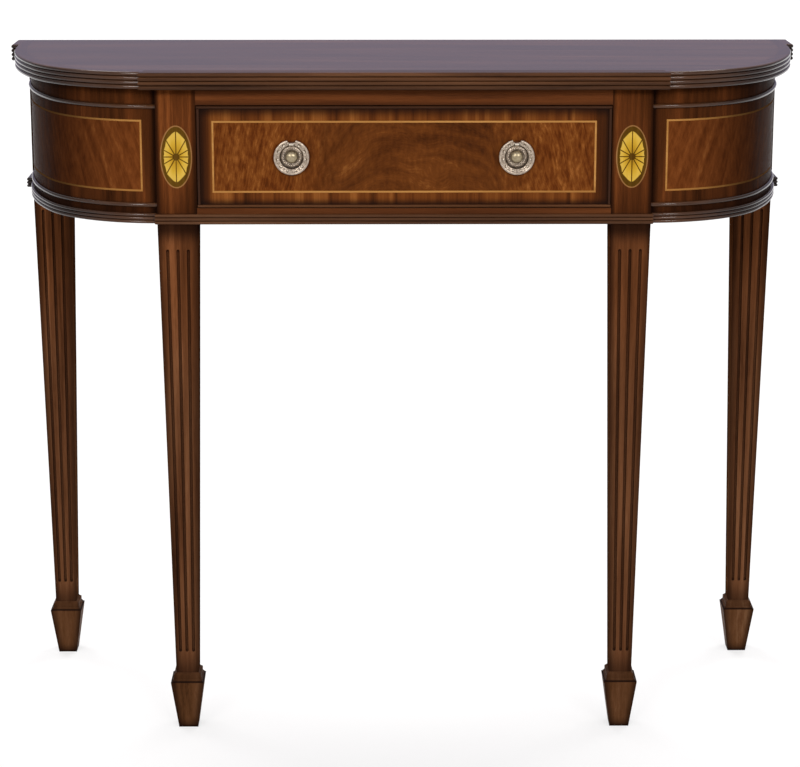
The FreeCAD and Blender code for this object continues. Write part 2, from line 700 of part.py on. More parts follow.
DRAWER_HALF = f"({POST_INNER} - dims.drawer_gap)"
SIDE_OUTER = f"({POST_INNER} - dims.side_inset)"
SIDE_INNER = f"({SIDE_OUTER} - dims.drawer_side_thick)"
GUIDE_X = f"({SIDE_OUTER} + dims.guide_gap)"
RUNNER_OUTER = f"({GUIDE_X} + dims.runner_width / 2)"
between = (POST_BACK, BACK_APRON_FRONT)
runner_ledge = box("runner_ledge", (f"{RUNNER_OUTER} - dims.runner_width", RUNNER_OUTER), between,
                   (f"{OPENING_LOW} - dims.runner_thick", OPENING_LOW))
runner_guide = box("runner_guide", (GUIDE_X, RUNNER_OUTER), between,
                   (OPENING_LOW, f"{OPENING_LOW} + dims.guide_height"))
pair("drawer_runner", fuse("drawer_runner", runner_ledge, runner_guide))
KICKER_INNER = f"({SIDE_OUTER} - dims.kicker_width)"
pair("drawer_kicker", box("drawer_kicker", (KICKER_INNER, SIDE_OUTER), between, (OPENING_HIGH, UNDER_TOP)))

DRAWER_FRONT_BACK = f"({POST_FRONT} + dims.drawer_front_thick)"
stop_front = f"({DRAWER_FRONT_BACK} + dims.run_gap)"
drawer_stop = box("drawer_stop", across("dims.stop_x", "dims.stop_width"),
                  (stop_front, f"{stop_front} + dims.stop_length"),
                  (OPENING_LOW, f"{OPENING_LOW} + dims.stop_height"))
node("drawer_stops", group("drawer_stops", [drawer_stop, mirrored("left_drawer_stop", drawer_stop)]))

block_y = f"({BACK_APRON_FRONT} - dims.block_size / 2)"
block_low = f"({UNDER_TOP} - dims.block_size)"


def screw(name, x, y, head_z):
    """A countersunk wood screw driven up into the top board."""
    head = doc.addObject("Part::Cone", f"{name}_head")
    bind(head, {"Radius1": "dims.screw_head_radius", "Radius2": "dims.screw_radius",
                "Height": "dims.screw_head_height"})
    place(head, (x, y, head_z))
    length = f"{UNDER_TOP} + dims.screw_bite - ({head_z})"
    return fuse(name, head, cylinder(f"{name}_shank", "dims.screw_radius", length, (x, y, head_z)))


block_places = {"inner": f"({KICKER_INNER} / 2)", "outer": f"(({SIDE_OUTER} + {REAR_INNER}) / 2)"}
blocks = [box(f"{name}_block", across(x, "dims.block_width"), across(block_y, "dims.block_size"),
              (block_low, UNDER_TOP)) for name, x in block_places.items()]
screws = [screw(f"{name}_screw", x, block_y, block_low) for name, x in block_places.items()]
screws.append(screw("rail_screw", "dims.rail_screw_x", rail_middle_y, OPENING_HIGH))
screws += [mirrored(f"left_{made.Name}", made) for made in screws]
top_screws = node("top_screws", group("top_screws", screws))
drilled = [cut(f"{made.Name}_drilled", made, top_screws) for made in blocks]
drilled += [mirrored(f"left_{made.Name}", made) for made in drilled]
node("glue_blocks", group("glue_blocks", drilled))
node("upper_front_rail", cut("upper_rail_drilled", upper_rail, top_screws))
node("top_board", cut("top_board_drilled", top_board, top_screws))

# Drawer with dovetailed sides, cock beads and stringing

CORE_HALF = f"({DRAWER_HALF} - dims.cockbead_thick)"
FACE_LOW = f"({OPENING_LOW} + dims.drawer_gap)"
FACE_HIGH = f"({OPENING_HIGH} - dims.drawer_gap)"
CORE_LOW = f"({FACE_LOW} + dims.cockbead_thick)"
CORE_HIGH = f"({FACE_HIGH} - dims.cockbead_thick)"
BEAD_BACK = f"({POST_FRONT} - dims.cockbead_proud + dims.cockbead_depth)"
TAIL_FRONT = f"({DRAWER_FRONT_BACK} - dims.tail_length)"
SIDE_LOW = f"({OPENING_LOW} + dims.run_gap)"
SIDE_HIGH = f"({OPENING_HIGH} - dims.tip_gap)"
BOTTOM_LOW = f"({SIDE_LOW} + dims.bottom_height)"
BOTTOM_HIGH = f"({BOTTOM_LOW} + dims.bottom_thick)"
DRAWER_END = f"({BACK_APRON_FRONT} - dims.drawer_back_space)"

core_z = (CORE_LOW, CORE_HIGH)
front_blank = fuse(
    "drawer_front_blank",
    box("drawer_face", (f"-{CORE_HALF}", CORE_HALF), (POST_FRONT, BEAD_BACK), core_z),
    box("drawer_face_back", (f"-{SIDE_OUTER}", SIDE_OUTER), (BEAD_BACK, DRAWER_FRONT_BACK), core_z),
)


def tail(index):
    """A dovetail at the front end of a drawer side, wider at its tip."""
    middle = f"({CORE_LOW} + ({CORE_HIGH} - {CORE_LOW}) * {(index + 0.5) / TAILS})"
    obj = doc.addObject("Part::Wedge", f"tail_{index}")
    bind(obj, {"Ymin": TAIL_FRONT, "Ymax": DRAWER_FRONT_BACK})
    for size, width in (("", "dims.tail_wide"), ("2", "dims.tail_narrow")):
        low, high = across(middle, width)
        bind(obj, {f"X{size}min": SIDE_INNER, f"X{size}max": SIDE_OUTER})
        bind(obj, {f"Z{size}min": low, f"Z{size}max": high})
    return obj


tails = group("tails", [tail(index) for index in range(TAILS)])
string_half = f"({CORE_HALF} - dims.crossband_width)"
inner_half = f"({string_half} - dims.string_width)"
string_y = (POST_FRONT, f"{POST_FRONT} + dims.string_depth")
inner_string_z = (f"{STRING_LOW} + dims.string_width", f"{STRING_HIGH} - dims.string_width")
upright_string = box("drawer_string_right", (inner_half, string_half), string_y, inner_string_z)
drawer_strings = [
    box("drawer_string_low", (f"-{string_half}", string_half), string_y, (STRING_LOW, inner_string_z[0])),
    box("drawer_string_high", (f"-{string_half}", string_half), string_y, (inner_string_z[1], STRING_HIGH)),
    upright_string,
    mirrored("drawer_string_left", upright_string),
]
drawer_stringing = node("drawer_stringing", group("drawer_stringing", drawer_strings))

GROOVE_SIDE = f"({SIDE_INNER} + dims.groove_depth)"
GROOVE_FRONT = f"({DRAWER_FRONT_BACK} - dims.groove_depth)"
bottom_x = (f"-{GROOVE_SIDE} + dims.glue_gap", f"{GROOVE_SIDE} - dims.glue_gap")
node("drawer_bottom", box("drawer_bottom_panel", bottom_x, (f"{GROOVE_FRONT} + dims.glue_gap", DRAWER_END),
                          (BOTTOM_LOW, BOTTOM_HIGH)))
bottom_groove = box("bottom_groove", (f"-{GROOVE_SIDE}", GROOVE_SIDE), (GROOVE_FRONT, DRAWER_END),
                    (f"{BOTTOM_LOW} - dims.glue_gap", f"{BOTTOM_HIGH} + dims.glue_gap"))
side_blank = box("drawer_side_blank", (SIDE_INNER, SIDE_OUTER), (DRAWER_FRONT_BACK, DRAWER_END),
                 (SIDE_LOW, SIDE_HIGH))
pair("drawer_side", cut("drawer_side", fuse("drawer_side_tailed", side_blank, tails), bottom_groove))
node("drawer_back", box("drawer_back_board", (f"-{SIDE_INNER}", SIDE_INNER),
                        (f"{DRAWER_END} - dims.drawer_back_thick", DRAWER_END),
                        (BOTTOM_HIGH, f"{SIDE_HIGH} - dims.back_drop")))

BEAD_ROUND = "(dims.cockbead_thick / 2)"
BEAD_FRONT = f"({POST_FRONT} - dims.cockbead_proud)"


def cockbead_section(low):
    """A thin strip with a rounded front edge, in the front-facing section plane."""
    return reeded_section(f"-{BEAD_BACK}", f"-{BEAD_FRONT} - {BEAD_ROUND}", low, "dims.cockbead_thick", 1)


for label, low in (("lower", FACE_LOW), ("upper", CORE_HIGH)):
    section = cockbead_section(low)
    sketch = outline(f"{label}_cockbead_section", section, (f"-{DRAWER_HALF}", 0, 0), FACING_FRONT)
    node(f"{label}_cockbead", extruded(f"{label}_cockbead", sketch, X_AXIS, f"2 * {DRAWER_HALF}"))
round_y = f"({BEAD_FRONT} + {BEAD_ROUND})"
side_bead_steps = [
    (CORE_HALF, BEAD_BACK),
    (CORE_HALF, round_y),
    (DRAWER_HALF, round_y, f"{CORE_HALF} + {BEAD_ROUND}", round_y),
    (DRAWER_HALF, BEAD_BACK),
]
side_bead_sketch = outline("side_cockbead_section", side_bead_steps, (0, 0, CORE_LOW))
pair("cockbead", extruded("side_cockbead", side_bead_sketch, Z_AXIS, f"{CORE_HIGH} - {CORE_LOW}"))

# Ring pulls: a plate with a boss, a lug and a stud, a swinging ring, and a nut behind the drawer front

pull_at = ("dims.pull_x", POST_FRONT, MIDDLE_Z)
PIVOT_Y = f"({POST_FRONT} - dims.ring_wire - dims.ring_clear)"
PIVOT_Z = f"({MIDDLE_Z} + dims.ring_radius - dims.pivot_drop)"
STUD_LENGTH = "(dims.drawer_front_thick + dims.nut_thick + dims.stud_spare)"
boss_sphere = "((dims.boss_radius^2 + dims.boss_height^2) / (2 * dims.boss_height))"
plate_face = "dims.plate_thick"
plate_profile = [
    ("0", f"-{STUD_LENGTH}"),
    ("dims.stud_radius", f"-{STUD_LENGTH}"),
    ("dims.stud_radius", "0"),
    ("dims.plate_radius", "0"),
    ("dims.plate_radius", plate_face),
    ("dims.plate_bead_radius + dims.plate_bead_wire", plate_face),
    ("dims.plate_bead_radius - dims.plate_bead_wire", plate_face, "dims.plate_bead_radius", plate_face),
    ("dims.boss_radius", plate_face),
    ("0", f"{plate_face} + dims.boss_height", "0", f"{plate_face} + dims.boss_height - {boss_sphere}"),
]
plate_sketch = outline("plate_profile", plate_profile)
plate_round = revolved("plate_round", plate_sketch, Y_AXIS, ("0", "0"), "360 deg")
plate_disc = placed("plate_disc", plate_round, pull_at, FreeCAD.Rotation(X_AXIS, 180))
lug = box("lug", across("dims.pull_x", "dims.lug_width"),
          (f"{PIVOT_Y} - dims.lug_reach", POST_FRONT),
          (f"{MIDDLE_Z} + dims.plate_radius - dims.plate_thick", f"{PIVOT_Z} + dims.lug_reach"))
lug_bore = cylinder("lug_bore", "dims.pivot_radius + dims.pivot_play", "dims.lug_width",
                    ("dims.pull_x - dims.lug_width / 2", PIVOT_Y, PIVOT_Z), FreeCAD.Rotation(Y_AXIS, 90))
plate = cut("pull_plate", fuse("plate_with_lug", plate_disc, lug), lug_bore)
pair("pull_plate", plate)

hoop = doc.addObject("Part::Torus", "hoop")
bind(hoop, {"Radius1": "dims.ring_radius", "Radius2": "dims.ring_wire"})
place(hoop, ("dims.pull_x", PIVOT_Y, MIDDLE_Z), POINTING_FRONT)
hoop_mouth = box("hoop_mouth", across("dims.pull_x", "dims.lug_width", "dims.ring_end_gap"),
                 across(PIVOT_Y, "4 * dims.ring_wire"),
                 (MIDDLE_Z, f"{PIVOT_Z} + 2 * dims.ring_wire"))
pivot_reach = "(dims.lug_width / 3 + dims.ring_end_gap)"
pivot_start = "(dims.lug_width / 6)"
pivots = [cylinder(f"ring_pivot_{number}", "dims.pivot_radius", f"{pivot_reach} + dims.ring_wire",
                   (f"dims.pull_x + {side} * {pivot_start}", PIVOT_Y, PIVOT_Z),
                   FreeCAD.Rotation(Y_AXIS, side * 90)) for number, side in enumerate((-1, 1))]
ring = fuse("pull_ring", cut("open_hoop", hoop, hoop_mouth), *pivots)
pair("pull_ring", ring)

nut_blank = doc.addObject("Part::Prism", "nut_blank")
nut_blank.Polygon = NUT_SIDES
bind(nut_blank, {"Circumradius": "dims.nut_radius", "Height": "dims.nut_thick"})
place(nut_blank, ("dims.pull_x", f"{DRAWER_FRONT_BACK} + dims.nut_thick", MIDDLE_Z), POINTING_FRONT)
nut_hole = cylinder("nut_hole", "dims.stud_radius + dims.pivot_play", "dims.nut_thick",
                    ("dims.pull_x", f"{DRAWER_FRONT_BACK} + dims.nut_thick", MIDDLE_Z), POINTING_FRONT)
nut = cut("pull_nut", nut_blank, nut_hole)
node("pull_nuts", group("pull_nuts", [nut, mirrored("left_pull_nut", nut)]))

stud_hole = cylinder("stud_hole", "dims.stud_radius + dims.stud_play", "dims.drawer_front_thick",
                     ("dims.pull_x", DRAWER_FRONT_BACK, MIDDLE_Z), POINTING_FRONT)
node("drawer_front", cut("drawer_front_cut", front_blank, tails, mirrored("left_tails", tails), bottom_groove,
                         drawer_stringing, stud_hole, mirrored("left_stud_hole", stud_hole)))

# Build, check and write

doc.recompute()
for obj in doc.Objects:
    faults = {"Invalid", "Error"} & set(obj.State)
    if faults:
        raise SystemExit(f"{obj.Label} is {faults}")
for label, obj in nodes.items():
    if obj.Shape.isNull() or not obj.Shape.isValid() or not obj.Shape.Solids:
        raise SystemExit(f"{label} has no valid solid")

os.makedirs("parts", exist_ok=True)
for label, obj in nodes.items():
    obj.Shape.exportStep(f"parts/{label}.step")
print(f"{len(nodes)} nodes written")
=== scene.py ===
import json
import math

import bmesh
import bpy
from mathutils import Matrix, Vector


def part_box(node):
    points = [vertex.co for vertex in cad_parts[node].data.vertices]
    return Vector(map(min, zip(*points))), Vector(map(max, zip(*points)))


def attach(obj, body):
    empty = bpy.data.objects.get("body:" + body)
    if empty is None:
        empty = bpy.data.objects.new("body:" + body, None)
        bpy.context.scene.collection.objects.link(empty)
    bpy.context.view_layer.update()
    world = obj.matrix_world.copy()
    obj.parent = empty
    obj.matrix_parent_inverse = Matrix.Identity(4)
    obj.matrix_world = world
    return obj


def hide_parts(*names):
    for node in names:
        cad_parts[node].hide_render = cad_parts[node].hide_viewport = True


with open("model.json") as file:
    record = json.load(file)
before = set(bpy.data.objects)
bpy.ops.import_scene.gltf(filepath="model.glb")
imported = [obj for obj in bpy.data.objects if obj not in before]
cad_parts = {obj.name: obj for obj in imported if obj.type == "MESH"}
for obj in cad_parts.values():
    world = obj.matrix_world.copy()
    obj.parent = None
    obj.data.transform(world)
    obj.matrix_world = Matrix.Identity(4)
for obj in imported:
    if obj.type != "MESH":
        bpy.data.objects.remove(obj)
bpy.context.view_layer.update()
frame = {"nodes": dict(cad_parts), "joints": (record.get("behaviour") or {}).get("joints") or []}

scene = bpy.context.scene
scene.view_settings.view_transform = "Standard"

FULL_TURN = 2 * math.pi
MM = 0.001

# Places that the finishes take from the frame, in metres

DRAWER_LOW, DRAWER_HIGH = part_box("drawer_front")
DRAWER_STRING_LOW, DRAWER_STRING_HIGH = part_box("drawer_stringing")
END_STRING_LOW, END_STRING_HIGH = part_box("right_end_stringing")
END_BACK_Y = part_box("right_end_apron")[1].y
STILE_LOW, STILE_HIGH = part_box("front_right_leg")
STILE_X = (STILE_LOW.x + STILE_HIGH.x) / 2
STILE_HALF = (STILE_HIGH.x - STILE_LOW.x) / 2
APRON_LOW_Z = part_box("lower_front_rail")[0].z
APRON_HIGH_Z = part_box("upper_front_rail")[1].z
LOW_BEAD_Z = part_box("right_lower_bead")[0].z
TOP_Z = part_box("top_board")[1].z
FAN_LOW, FAN_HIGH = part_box("right_fan_petals")
FAN_CENTRE = (FAN_LOW + FAN_HIGH) / 2
FAN_HALF = (FAN_HIGH - FAN_LOW) / 2
FOOT_LOW, FOOT_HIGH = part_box("front_right_foot")
SPADE_HALF = (FOOT_HIGH.x - FOOT_LOW.x) / 2

# Sizes of the solids that their boxes don't give

STRING_WIDTH = 2 * MM
STRING_SOFT = STRING_WIDTH / 4
SPADE_HEIGHT = 57 * MM
TOE_HALF = 11 * MM
ANKLE_HALF = 12.7 * MM
END_RADIUS = 210 * MM
PETALS = 12


# Node materials

NOISE_MIDDLE = (0.28, 0.72)
OPEN_PORES = 0.2 * MM
FILLED_PORES = 0.1 * MM
POLISHED_PORES = 0.02 * MM


def colour(red, green, blue):
    """A colour written in the 0 to 255 values that it has on a screen, as the shader takes it."""
    shares = [value / 255 for value in (red, green, blue)]
    linear = [share / 12.92 if share < 0.04045 else ((share + 0.055) / 1.055) ** 2.4 for share in shares]
    return (*linear, 1)


class Nodes:
    """A node tree whose methods each add one step and return its output."""

    def __init__(self, tree):
        self.tree = tree

    def add(self, kind, inputs=(), **settings):
        node = self.tree.nodes.new(kind)
        for name, setting in settings.items():
            setattr(node, name, setting)
        for name, given in dict(inputs).items():
            self.feed(node.inputs[name], given)
        return node

    def feed(self, socket, given):
        if isinstance(given, bpy.types.NodeSocket):
            self.tree.links.new(given, socket)
        else:
            socket.default_value = given

    def split(self, vector):
        return self.add("ShaderNodeSeparateXYZ", {0: vector}).outputs[:3]

    def join(self, x, y, z):
        return self.add("ShaderNodeCombineXYZ", {0: x, 1: y, 2: z}).outputs[0]

    def math(self, operation, *inputs):
        return self.add("ShaderNodeMath", dict(enumerate(inputs)), operation=operation).outputs[0]

    def apart(self, first, second):
        """How far two values are apart."""
        return self.math("ABSOLUTE", self.math("SUBTRACT", first, second))

    def length(self, first, second):
        """The length of a line from how far it goes in two directions at right angles."""
        squares = self.math("MULTIPLY_ADD", first, first, self.math("MULTIPLY", second, second))
        return self.math("SQRT", squares)

    def scaled(self, vector, factors):
        inputs = {0: vector, 1: factors}
        return self.add("ShaderNodeVectorMath", inputs, operation="MULTIPLY").outputs[0]

    def ease(self, value, low, high, start=0.0, end=1.0):
        """A smooth step from start at low to end at high."""
        inputs = {"Value": value, "From Min": low, "From Max": high, "To Min": start, "To Max": end}
        return self.add("ShaderNodeMapRange", inputs, interpolation_type="SMOOTHSTEP").outputs[0]

    def inside(self, value, low, high, soft):
        """1 between two values, 0 outside them."""
        above = self.ease(value, low - soft, low + soft)
        below = self.ease(value, high - soft, high + soft, 1.0, 0.0)
        return self.math("MULTIPLY", above, below)

    def noise(self, vector, detail=3, distortion=0.0):
        """Noise with its middle values spread over 0 to 1."""
        inputs = {"Vector": vector, "Scale": 1, "Detail": detail, "Distortion": distortion}
        made = self.add("ShaderNodeTexNoise", inputs)
        return self.ease(made.outputs[0], *NOISE_MIDDLE)

    def blend(self, factor, first, second):
        inputs = {0: factor, 6: first, 7: second}
        return self.add("ShaderNodeMix", inputs, data_type="RGBA").outputs[2]

    def ramp(self, factor, tones):
        """A run of tones, evenly spaced."""
        node = self.add("ShaderNodeValToRGB", {0: factor})
        stops = node.color_ramp.elements
        while len(stops) < len(tones):
            stops.new(1)
        for index, tone in enumerate(tones):
            stops[index].position = index / (len(tones) - 1)
            stops[index].color = colour(*tone)
        return node.outputs[0]


class Finish(Nodes):
    """A material, with the place in the shared frame of each point of its surface."""

    def __init__(self, name, roughness=0.4, specular=0.05, metallic=0):
        self.material = bpy.data.materials.new(name)
        self.material.use_nodes = True
        super().__init__(self.material.node_tree)
        self.shader = self.tree.nodes["Principled BSDF"]
        self.shader.inputs["Roughness"].default_value = roughness
        self.shader.inputs["Specular IOR Level"].default_value = specular
        self.shader.inputs["Metallic"].default_value = metallic
        self.place = self.add("ShaderNodeTexCoord").outputs["Object"]
        self.x, self.y, self.z = self.split(self.place)

    def aside(self):
        """How far a point is from the middle of the table, on either side."""
        return self.math("ABSOLUTE", self.x)

    def corners(self, distance):
        """1 on open faces, less in hollows and where pieces meet."""
        return self.add("ShaderNodeAmbientOcclusion", {"Distance": distance}, samples=8).outputs["AO"]

    def paint(self, tone, height=None, depth=OPEN_PORES):
        self.feed(self.shader.inputs["Base Color"], tone)
        if height is not None:
            bump = self.add("ShaderNodeBump", {"Height": height, "Distance": depth, "Strength": 0.5})
            self.feed(self.shader.inputs["Normal"], bump.outputs[0])
        return self.material


# Wood tones, from dark to light

TOP = [(34, 17, 11), (58, 34, 24), (72, 45, 33), (98, 64, 47)]
MOULDING = [(47, 26, 12), (76, 46, 25), (91, 57, 33), (110, 74, 48)]
RAIL = [(62, 31, 13), (97, 52, 24), (114, 63, 30), (136, 80, 43)]
STILE = [(42, 20, 8), (74, 39, 17), (96, 51, 23), (136, 76, 36)]
LEG = [(46, 24, 11), (87, 53, 32), (106, 68, 43), (130, 90, 62)]
FOOT = [(52, 30, 15), (80, 50, 28), (93, 60, 37), (114, 80, 54)]
FLAME = [(50, 20, 2), (94, 45, 12), (120, 66, 24), (168, 106, 50)]
PLUME = [(44, 19, 4), (81, 41, 13), (104, 56, 20), (146, 90, 41)]
CROSSBAND = [(50, 24, 6), (94, 48, 17), (112, 61, 23), (146, 88, 39)]
PANEL = [(62, 29, 10), (96, 49, 19), (118, 64, 28), (150, 92, 46)]
COCKBEAD = [(38, 20, 11), (54, 31, 18), (70, 42, 25)]
LINING = [(150, 112, 70), (176, 137, 92), (196, 160, 115)]
BOXWOOD = [(156, 106, 52), (178, 126, 66), (194, 142, 80)]
SATINWOOD = [(128, 86, 14), (184, 141, 36), (202, 160, 50), (218, 182, 82)]
FAN_GROUND = [(58, 36, 8), (84, 56, 10), (104, 74, 22)]
FAN_BORDER = [(118, 80, 42), (142, 100, 56), (158, 114, 66)]
# Dark tone of glaze, also used to paint shade in hollows, under parts and towards the back of the ends
GLAZE_AND_SHADE = colour(24, 12, 8)

# Waves in a metre of the figure: along, across and through the fibres, or in x, y and z for flecks and plume

BAND_WAVES = (1.5, 26, 26)
STREAK_WAVES = (7, 190, 190)
PORE_WAVES = (70, 1100, 1100)
FLECK_WAVES = (250, 250, 95)
PLUME_WAVES = (16, 16, 16)

# Shares of bands, streaks and pores in the tone of each figure

PLAIN_SHARES = (0.5, 0.36, 0.14)
MOTTLED_SHARES = (0.34, 0.36, 0.3)
PLUME_SHARES = (0.5, 0.34, 0.16)
BAR_SHARES = (0.74, 0.18, 0.08)

# The plume in the middle of the drawer: where it is, how it arches, and how its figure is packed

PLUME_X = 12 * MM
PLUME_HALF = 75 * MM
PLUME_SIDES = 150 * MM
PLUME_BEND = 45.0
PLUME_BEND_POWER = 3.0
PLUME_WANDER = 20 * MM
PLUME_PACKED_ALONG = 3.0
PLUME_PACKED_ACROSS = 0.5
SIDES_PACKED_ALONG = 5.0
BARS_PACKED_ACROSS = 2.6

# The fan's petals, as shares of the way from the hub to the border

SCORCH_REACH = (0.1, 0.9)
PETAL_ENDS = (0.92, 0.96)
PETAL_CORNER = 0.06
PETAL_CORNER_POWER = 1.6

# How far the glaze and the painted shade reach from an edge

RAIL_TOP_SHADE = 4 * MM
RAIL_DRAWER_SHADE = 12 * MM
STILE_EDGE_GLAZE = 7 * MM
STILE_BASE_GLAZE = 60 * MM
LEG_ARRIS_GLAZE = 9 * MM
ANKLE_GLAZE = 30 * MM
FOOT_ARRIS_GLAZE = 9.5 * MM
TOE_GLAZE = 14 * MM
DRAWER_TOP_GLAZE_AND_SHADE = 12 * MM
DRAWER_BOTTOM_GLAZE_AND_SHADE = 9 * MM
DRAWER_SIDE_GLAZE_AND_SHADE = 19 * MM
END_STILE_SHADE = 14 * MM

# The lean of the ends' ribbon figure, and the share of open space round a face that is in no hollow

RIBBON_LEAN = 0.3
OPEN_FACE = 0.95


def grain(finish, along, across, through, figure=1.0, shares=PLAIN_SHARES):
    """The tone, from 0 to 1, and the height of wood whose fibres run along the first coordinate."""
    fibres = finish.join(along, across, through)
    bands = finish.noise(finish.scaled(fibres, BAND_WAVES), detail=2, distortion=figure)
    streaks = finish.noise(finish.scaled(fibres, STREAK_WAVES), detail=4)
    pores = finish.noise(finish.scaled(fibres, PORE_WAVES), detail=2)
    tone = finish.math("MULTIPLY", bands, shares[0])
    tone = finish.math("MULTIPLY_ADD", streaks, shares[1], tone)
    return finish.math("MULTIPLY_ADD", pores, shares[2], tone), pores


def flecked(finish, level, share):
    """The tone of wood with a share of short flecks mixed in."""
    flecks = finish.noise(finish.scaled(finish.place, FLECK_WAVES), detail=3)
    return finish.math("MULTIPLY_ADD", flecks, share, finish.math("MULTIPLY", level, 1.0 - share))


def hollows_glazed_and_shaded(finish, tone, distance=8 * MM, strength=0.6, deep=0.35):
    """The dark glaze left in hollows when a finish is rubbed down, with painted shade, full where they are
    deep.
    """
    hollow = finish.ease(finish.corners(distance), deep, OPEN_FACE, strength, 0.0)
    return finish.blend(hollow, tone, GLAZE_AND_SHADE)


def shaded(finish, tone, place, full, gone, strength):
    """The tone under dark glaze and painted shade, which has its strength at one place and is gone at
    another.
    """
    (low, start), (high, end) = sorted([(full, strength), (gone, 0.0)])
    return finish.blend(finish.ease(place, low, high, start, end), tone, GLAZE_AND_SHADE)


def edge_shaded(finish, tone, shading):
    """The tone with dark glaze and painted shade along edges, each given by the distance from it and the
    reach of the darkening.
    """
    for distance, reach in shading:
        tone = shaded(finish, tone, distance, full=0.0, gone=reach, strength=0.85)
    return tone


def to_upright_edge(finish, middle, low, high):
    """The distance to the nearest upright edge of a square, tapered piece.

    The piece stands on both sides of the table, round a middle. Its low and high ends are each given by their
    height and half their width.
    """
    (low_z, low_half), (high_z, high_half) = low, high
    slope = (high_half - low_half) / (high_z - low_z)
    half = finish.math("MULTIPLY_ADD", finish.z, slope, low_half - slope * low_z)
    sideways = finish.apart(finish.aside(), middle.x)
    forward = finish.apart(finish.y, middle.y)
    return finish.math("SUBTRACT", half, finish.math("MINIMUM", sideways, forward))


def round_the_end(finish):
    """Coordinates along, through and up an end of the table, the same on both ends."""
    out = finish.math("SUBTRACT", finish.aside(), STILE_X)
    back = finish.math("SUBTRACT", END_BACK_Y, finish.y)
    along = finish.math("MULTIPLY", finish.math("ARCTAN2", out, back), END_RADIUS)
    return along, finish.length(out, back), finish.z


def painted_shade_to_back(finish, tone, start, end, strength):
    """The tone of an end under painted shade, as where it turns away from the light, from one length round
    the end to another.
    """
    along, _, _ = round_the_end(finish)
    return shaded(finish, tone, along, full=end, gone=start, strength=strength)


def fibre_run(finish, run):
    """Coordinates along and across the fibres of wood that runs along x, y or z, or round the end."""
    if run == "round":
        return round_the_end(finish)
    places = {"x": finish.x, "y": finish.y, "z": finish.z}
    return places.pop(run), *places.values()


def plain_wood(name, tones, run, roughness=0.45, specular=0.03, shade=0.6, far_shade=0.0, pores=OPEN_PORES):
    """Wood with its fibres one way, with glaze and painted shade in the hollows and, on an end, painted shade
    towards the back.
    """
    finish = Finish(name, roughness, specular)
    level, height = grain(finish, *fibre_run(finish, run))
    tone = finish.ramp(level, tones)
    # painted shade towards the back of an end
    if far_shade:
        tone = painted_shade_to_back(finish, tone, start=25 * MM, end=125 * MM, strength=far_shade)
    if shade:
        tone = hollows_glazed_and_shaded(finish, tone, strength=shade)
    return finish.paint(tone, height, pores)


def moulded_wood(name, run, roughness, specular, far_shade=0.0):
    """Moulding with painted shade below its upper reeds, and the tone of the top where it is level with it.
    """
    finish = Finish(name, roughness, specular)
    level, height = grain(finish, *fibre_run(finish, run))
    tone = finish.ramp(level, MOULDING)
    # painted shade towards the back of an end
    if far_shade:
        tone = painted_shade_to_back(finish, tone, start=15 * MM, end=130 * MM, strength=far_shade)
    # painted shade on the lower reeds of the top's edge, and everything lower darker by the same share
    tone = shaded(finish, tone, finish.z, full=TOP_Z - 17 * MM, gone=TOP_Z - 9 * MM, strength=0.22)
    tone = hollows_glazed_and_shaded(finish, tone, distance=4 * MM, strength=0.5)
    level_with_top = finish.ease(finish.z, TOP_Z - 1.5 * MM, TOP_Z - 0.3 * MM)
    tone = finish.blend(level_with_top, tone, finish.ramp(level, TOP))
    return finish.paint(tone, height, POLISHED_PORES)


def rail_wood():
    """Rail wood with painted shade under the top and along the drawer, and darker below the drawer."""
    finish = Finish("rail_mahogany", roughness=0.45, specular=0.03)
    level, height = grain(finish, *fibre_run(finish, "x"))
    plain = finish.ramp(level, RAIL)
    # painted shade: dark under the top's overhang and along the edge of the drawer opening
    shading = [
        (finish.apart(finish.z, APRON_HIGH_Z), RAIL_TOP_SHADE),
        (finish.math("SUBTRACT", finish.z, DRAWER_HIGH.z), RAIL_DRAWER_SHADE),
    ]
    upper = edge_shaded(finish, plain, shading)
    lower = finish.blend(0.36, plain, GLAZE_AND_SHADE)
    above = finish.ease(finish.z, DRAWER_LOW.z, DRAWER_HIGH.z)
    tone = finish.blend(above, lower, upper)
    return finish.paint(hollows_glazed_and_shaded(finish, tone, distance=6 * MM, strength=0.4), height)


def stile_tone(finish, level, middle):
    """The tone of the stile beside the drawer: reddish and streaked, shaded at its edges and its base."""
    to_edge = finish.math("SUBTRACT", STILE_HALF, finish.apart(finish.aside(), middle.x))
    tone = finish.ramp(level, STILE)
    tone = shaded(finish, tone, to_edge, full=0.0, gone=STILE_EDGE_GLAZE, strength=0.8)
    return shaded(finish, tone, finish.z, full=APRON_LOW_Z, gone=APRON_LOW_Z + STILE_BASE_GLAZE, strength=0.5)


def shaft_tone(finish, level, middle):
    """The tone of the fluted leg below the stile: browner, shaded at its edges and its ankle, with painted
    shadow of the base moulding at its top.
    """
    redder = finish.ease(finish.z, APRON_LOW_Z - 240 * MM, APRON_LOW_Z - 60 * MM, 0.0, 0.6)
    tone = finish.blend(redder, finish.ramp(level, LEG), finish.ramp(level, STILE))
    arris = to_upright_edge(finish, middle, (FOOT_HIGH.z, ANKLE_HALF), (APRON_LOW_Z, STILE_HALF))
    tone = shaded(finish, tone, arris, full=0.5 * MM, gone=LEG_ARRIS_GLAZE, strength=0.62)
    # painted shadow that the base moulding casts on the top of the leg
    shadow, clear = APRON_LOW_Z - 5 * MM, APRON_LOW_Z - 26 * MM
    tone = shaded(finish, tone, finish.z, full=shadow, gone=clear, strength=0.85)
    tone = shaded(finish, tone, finish.z, full=FOOT_HIGH.z, gone=FOOT_HIGH.z + ANKLE_GLAZE, strength=0.6)
    return hollows_glazed_and_shaded(finish, tone, distance=4 * MM, strength=0.95, deep=0.55)


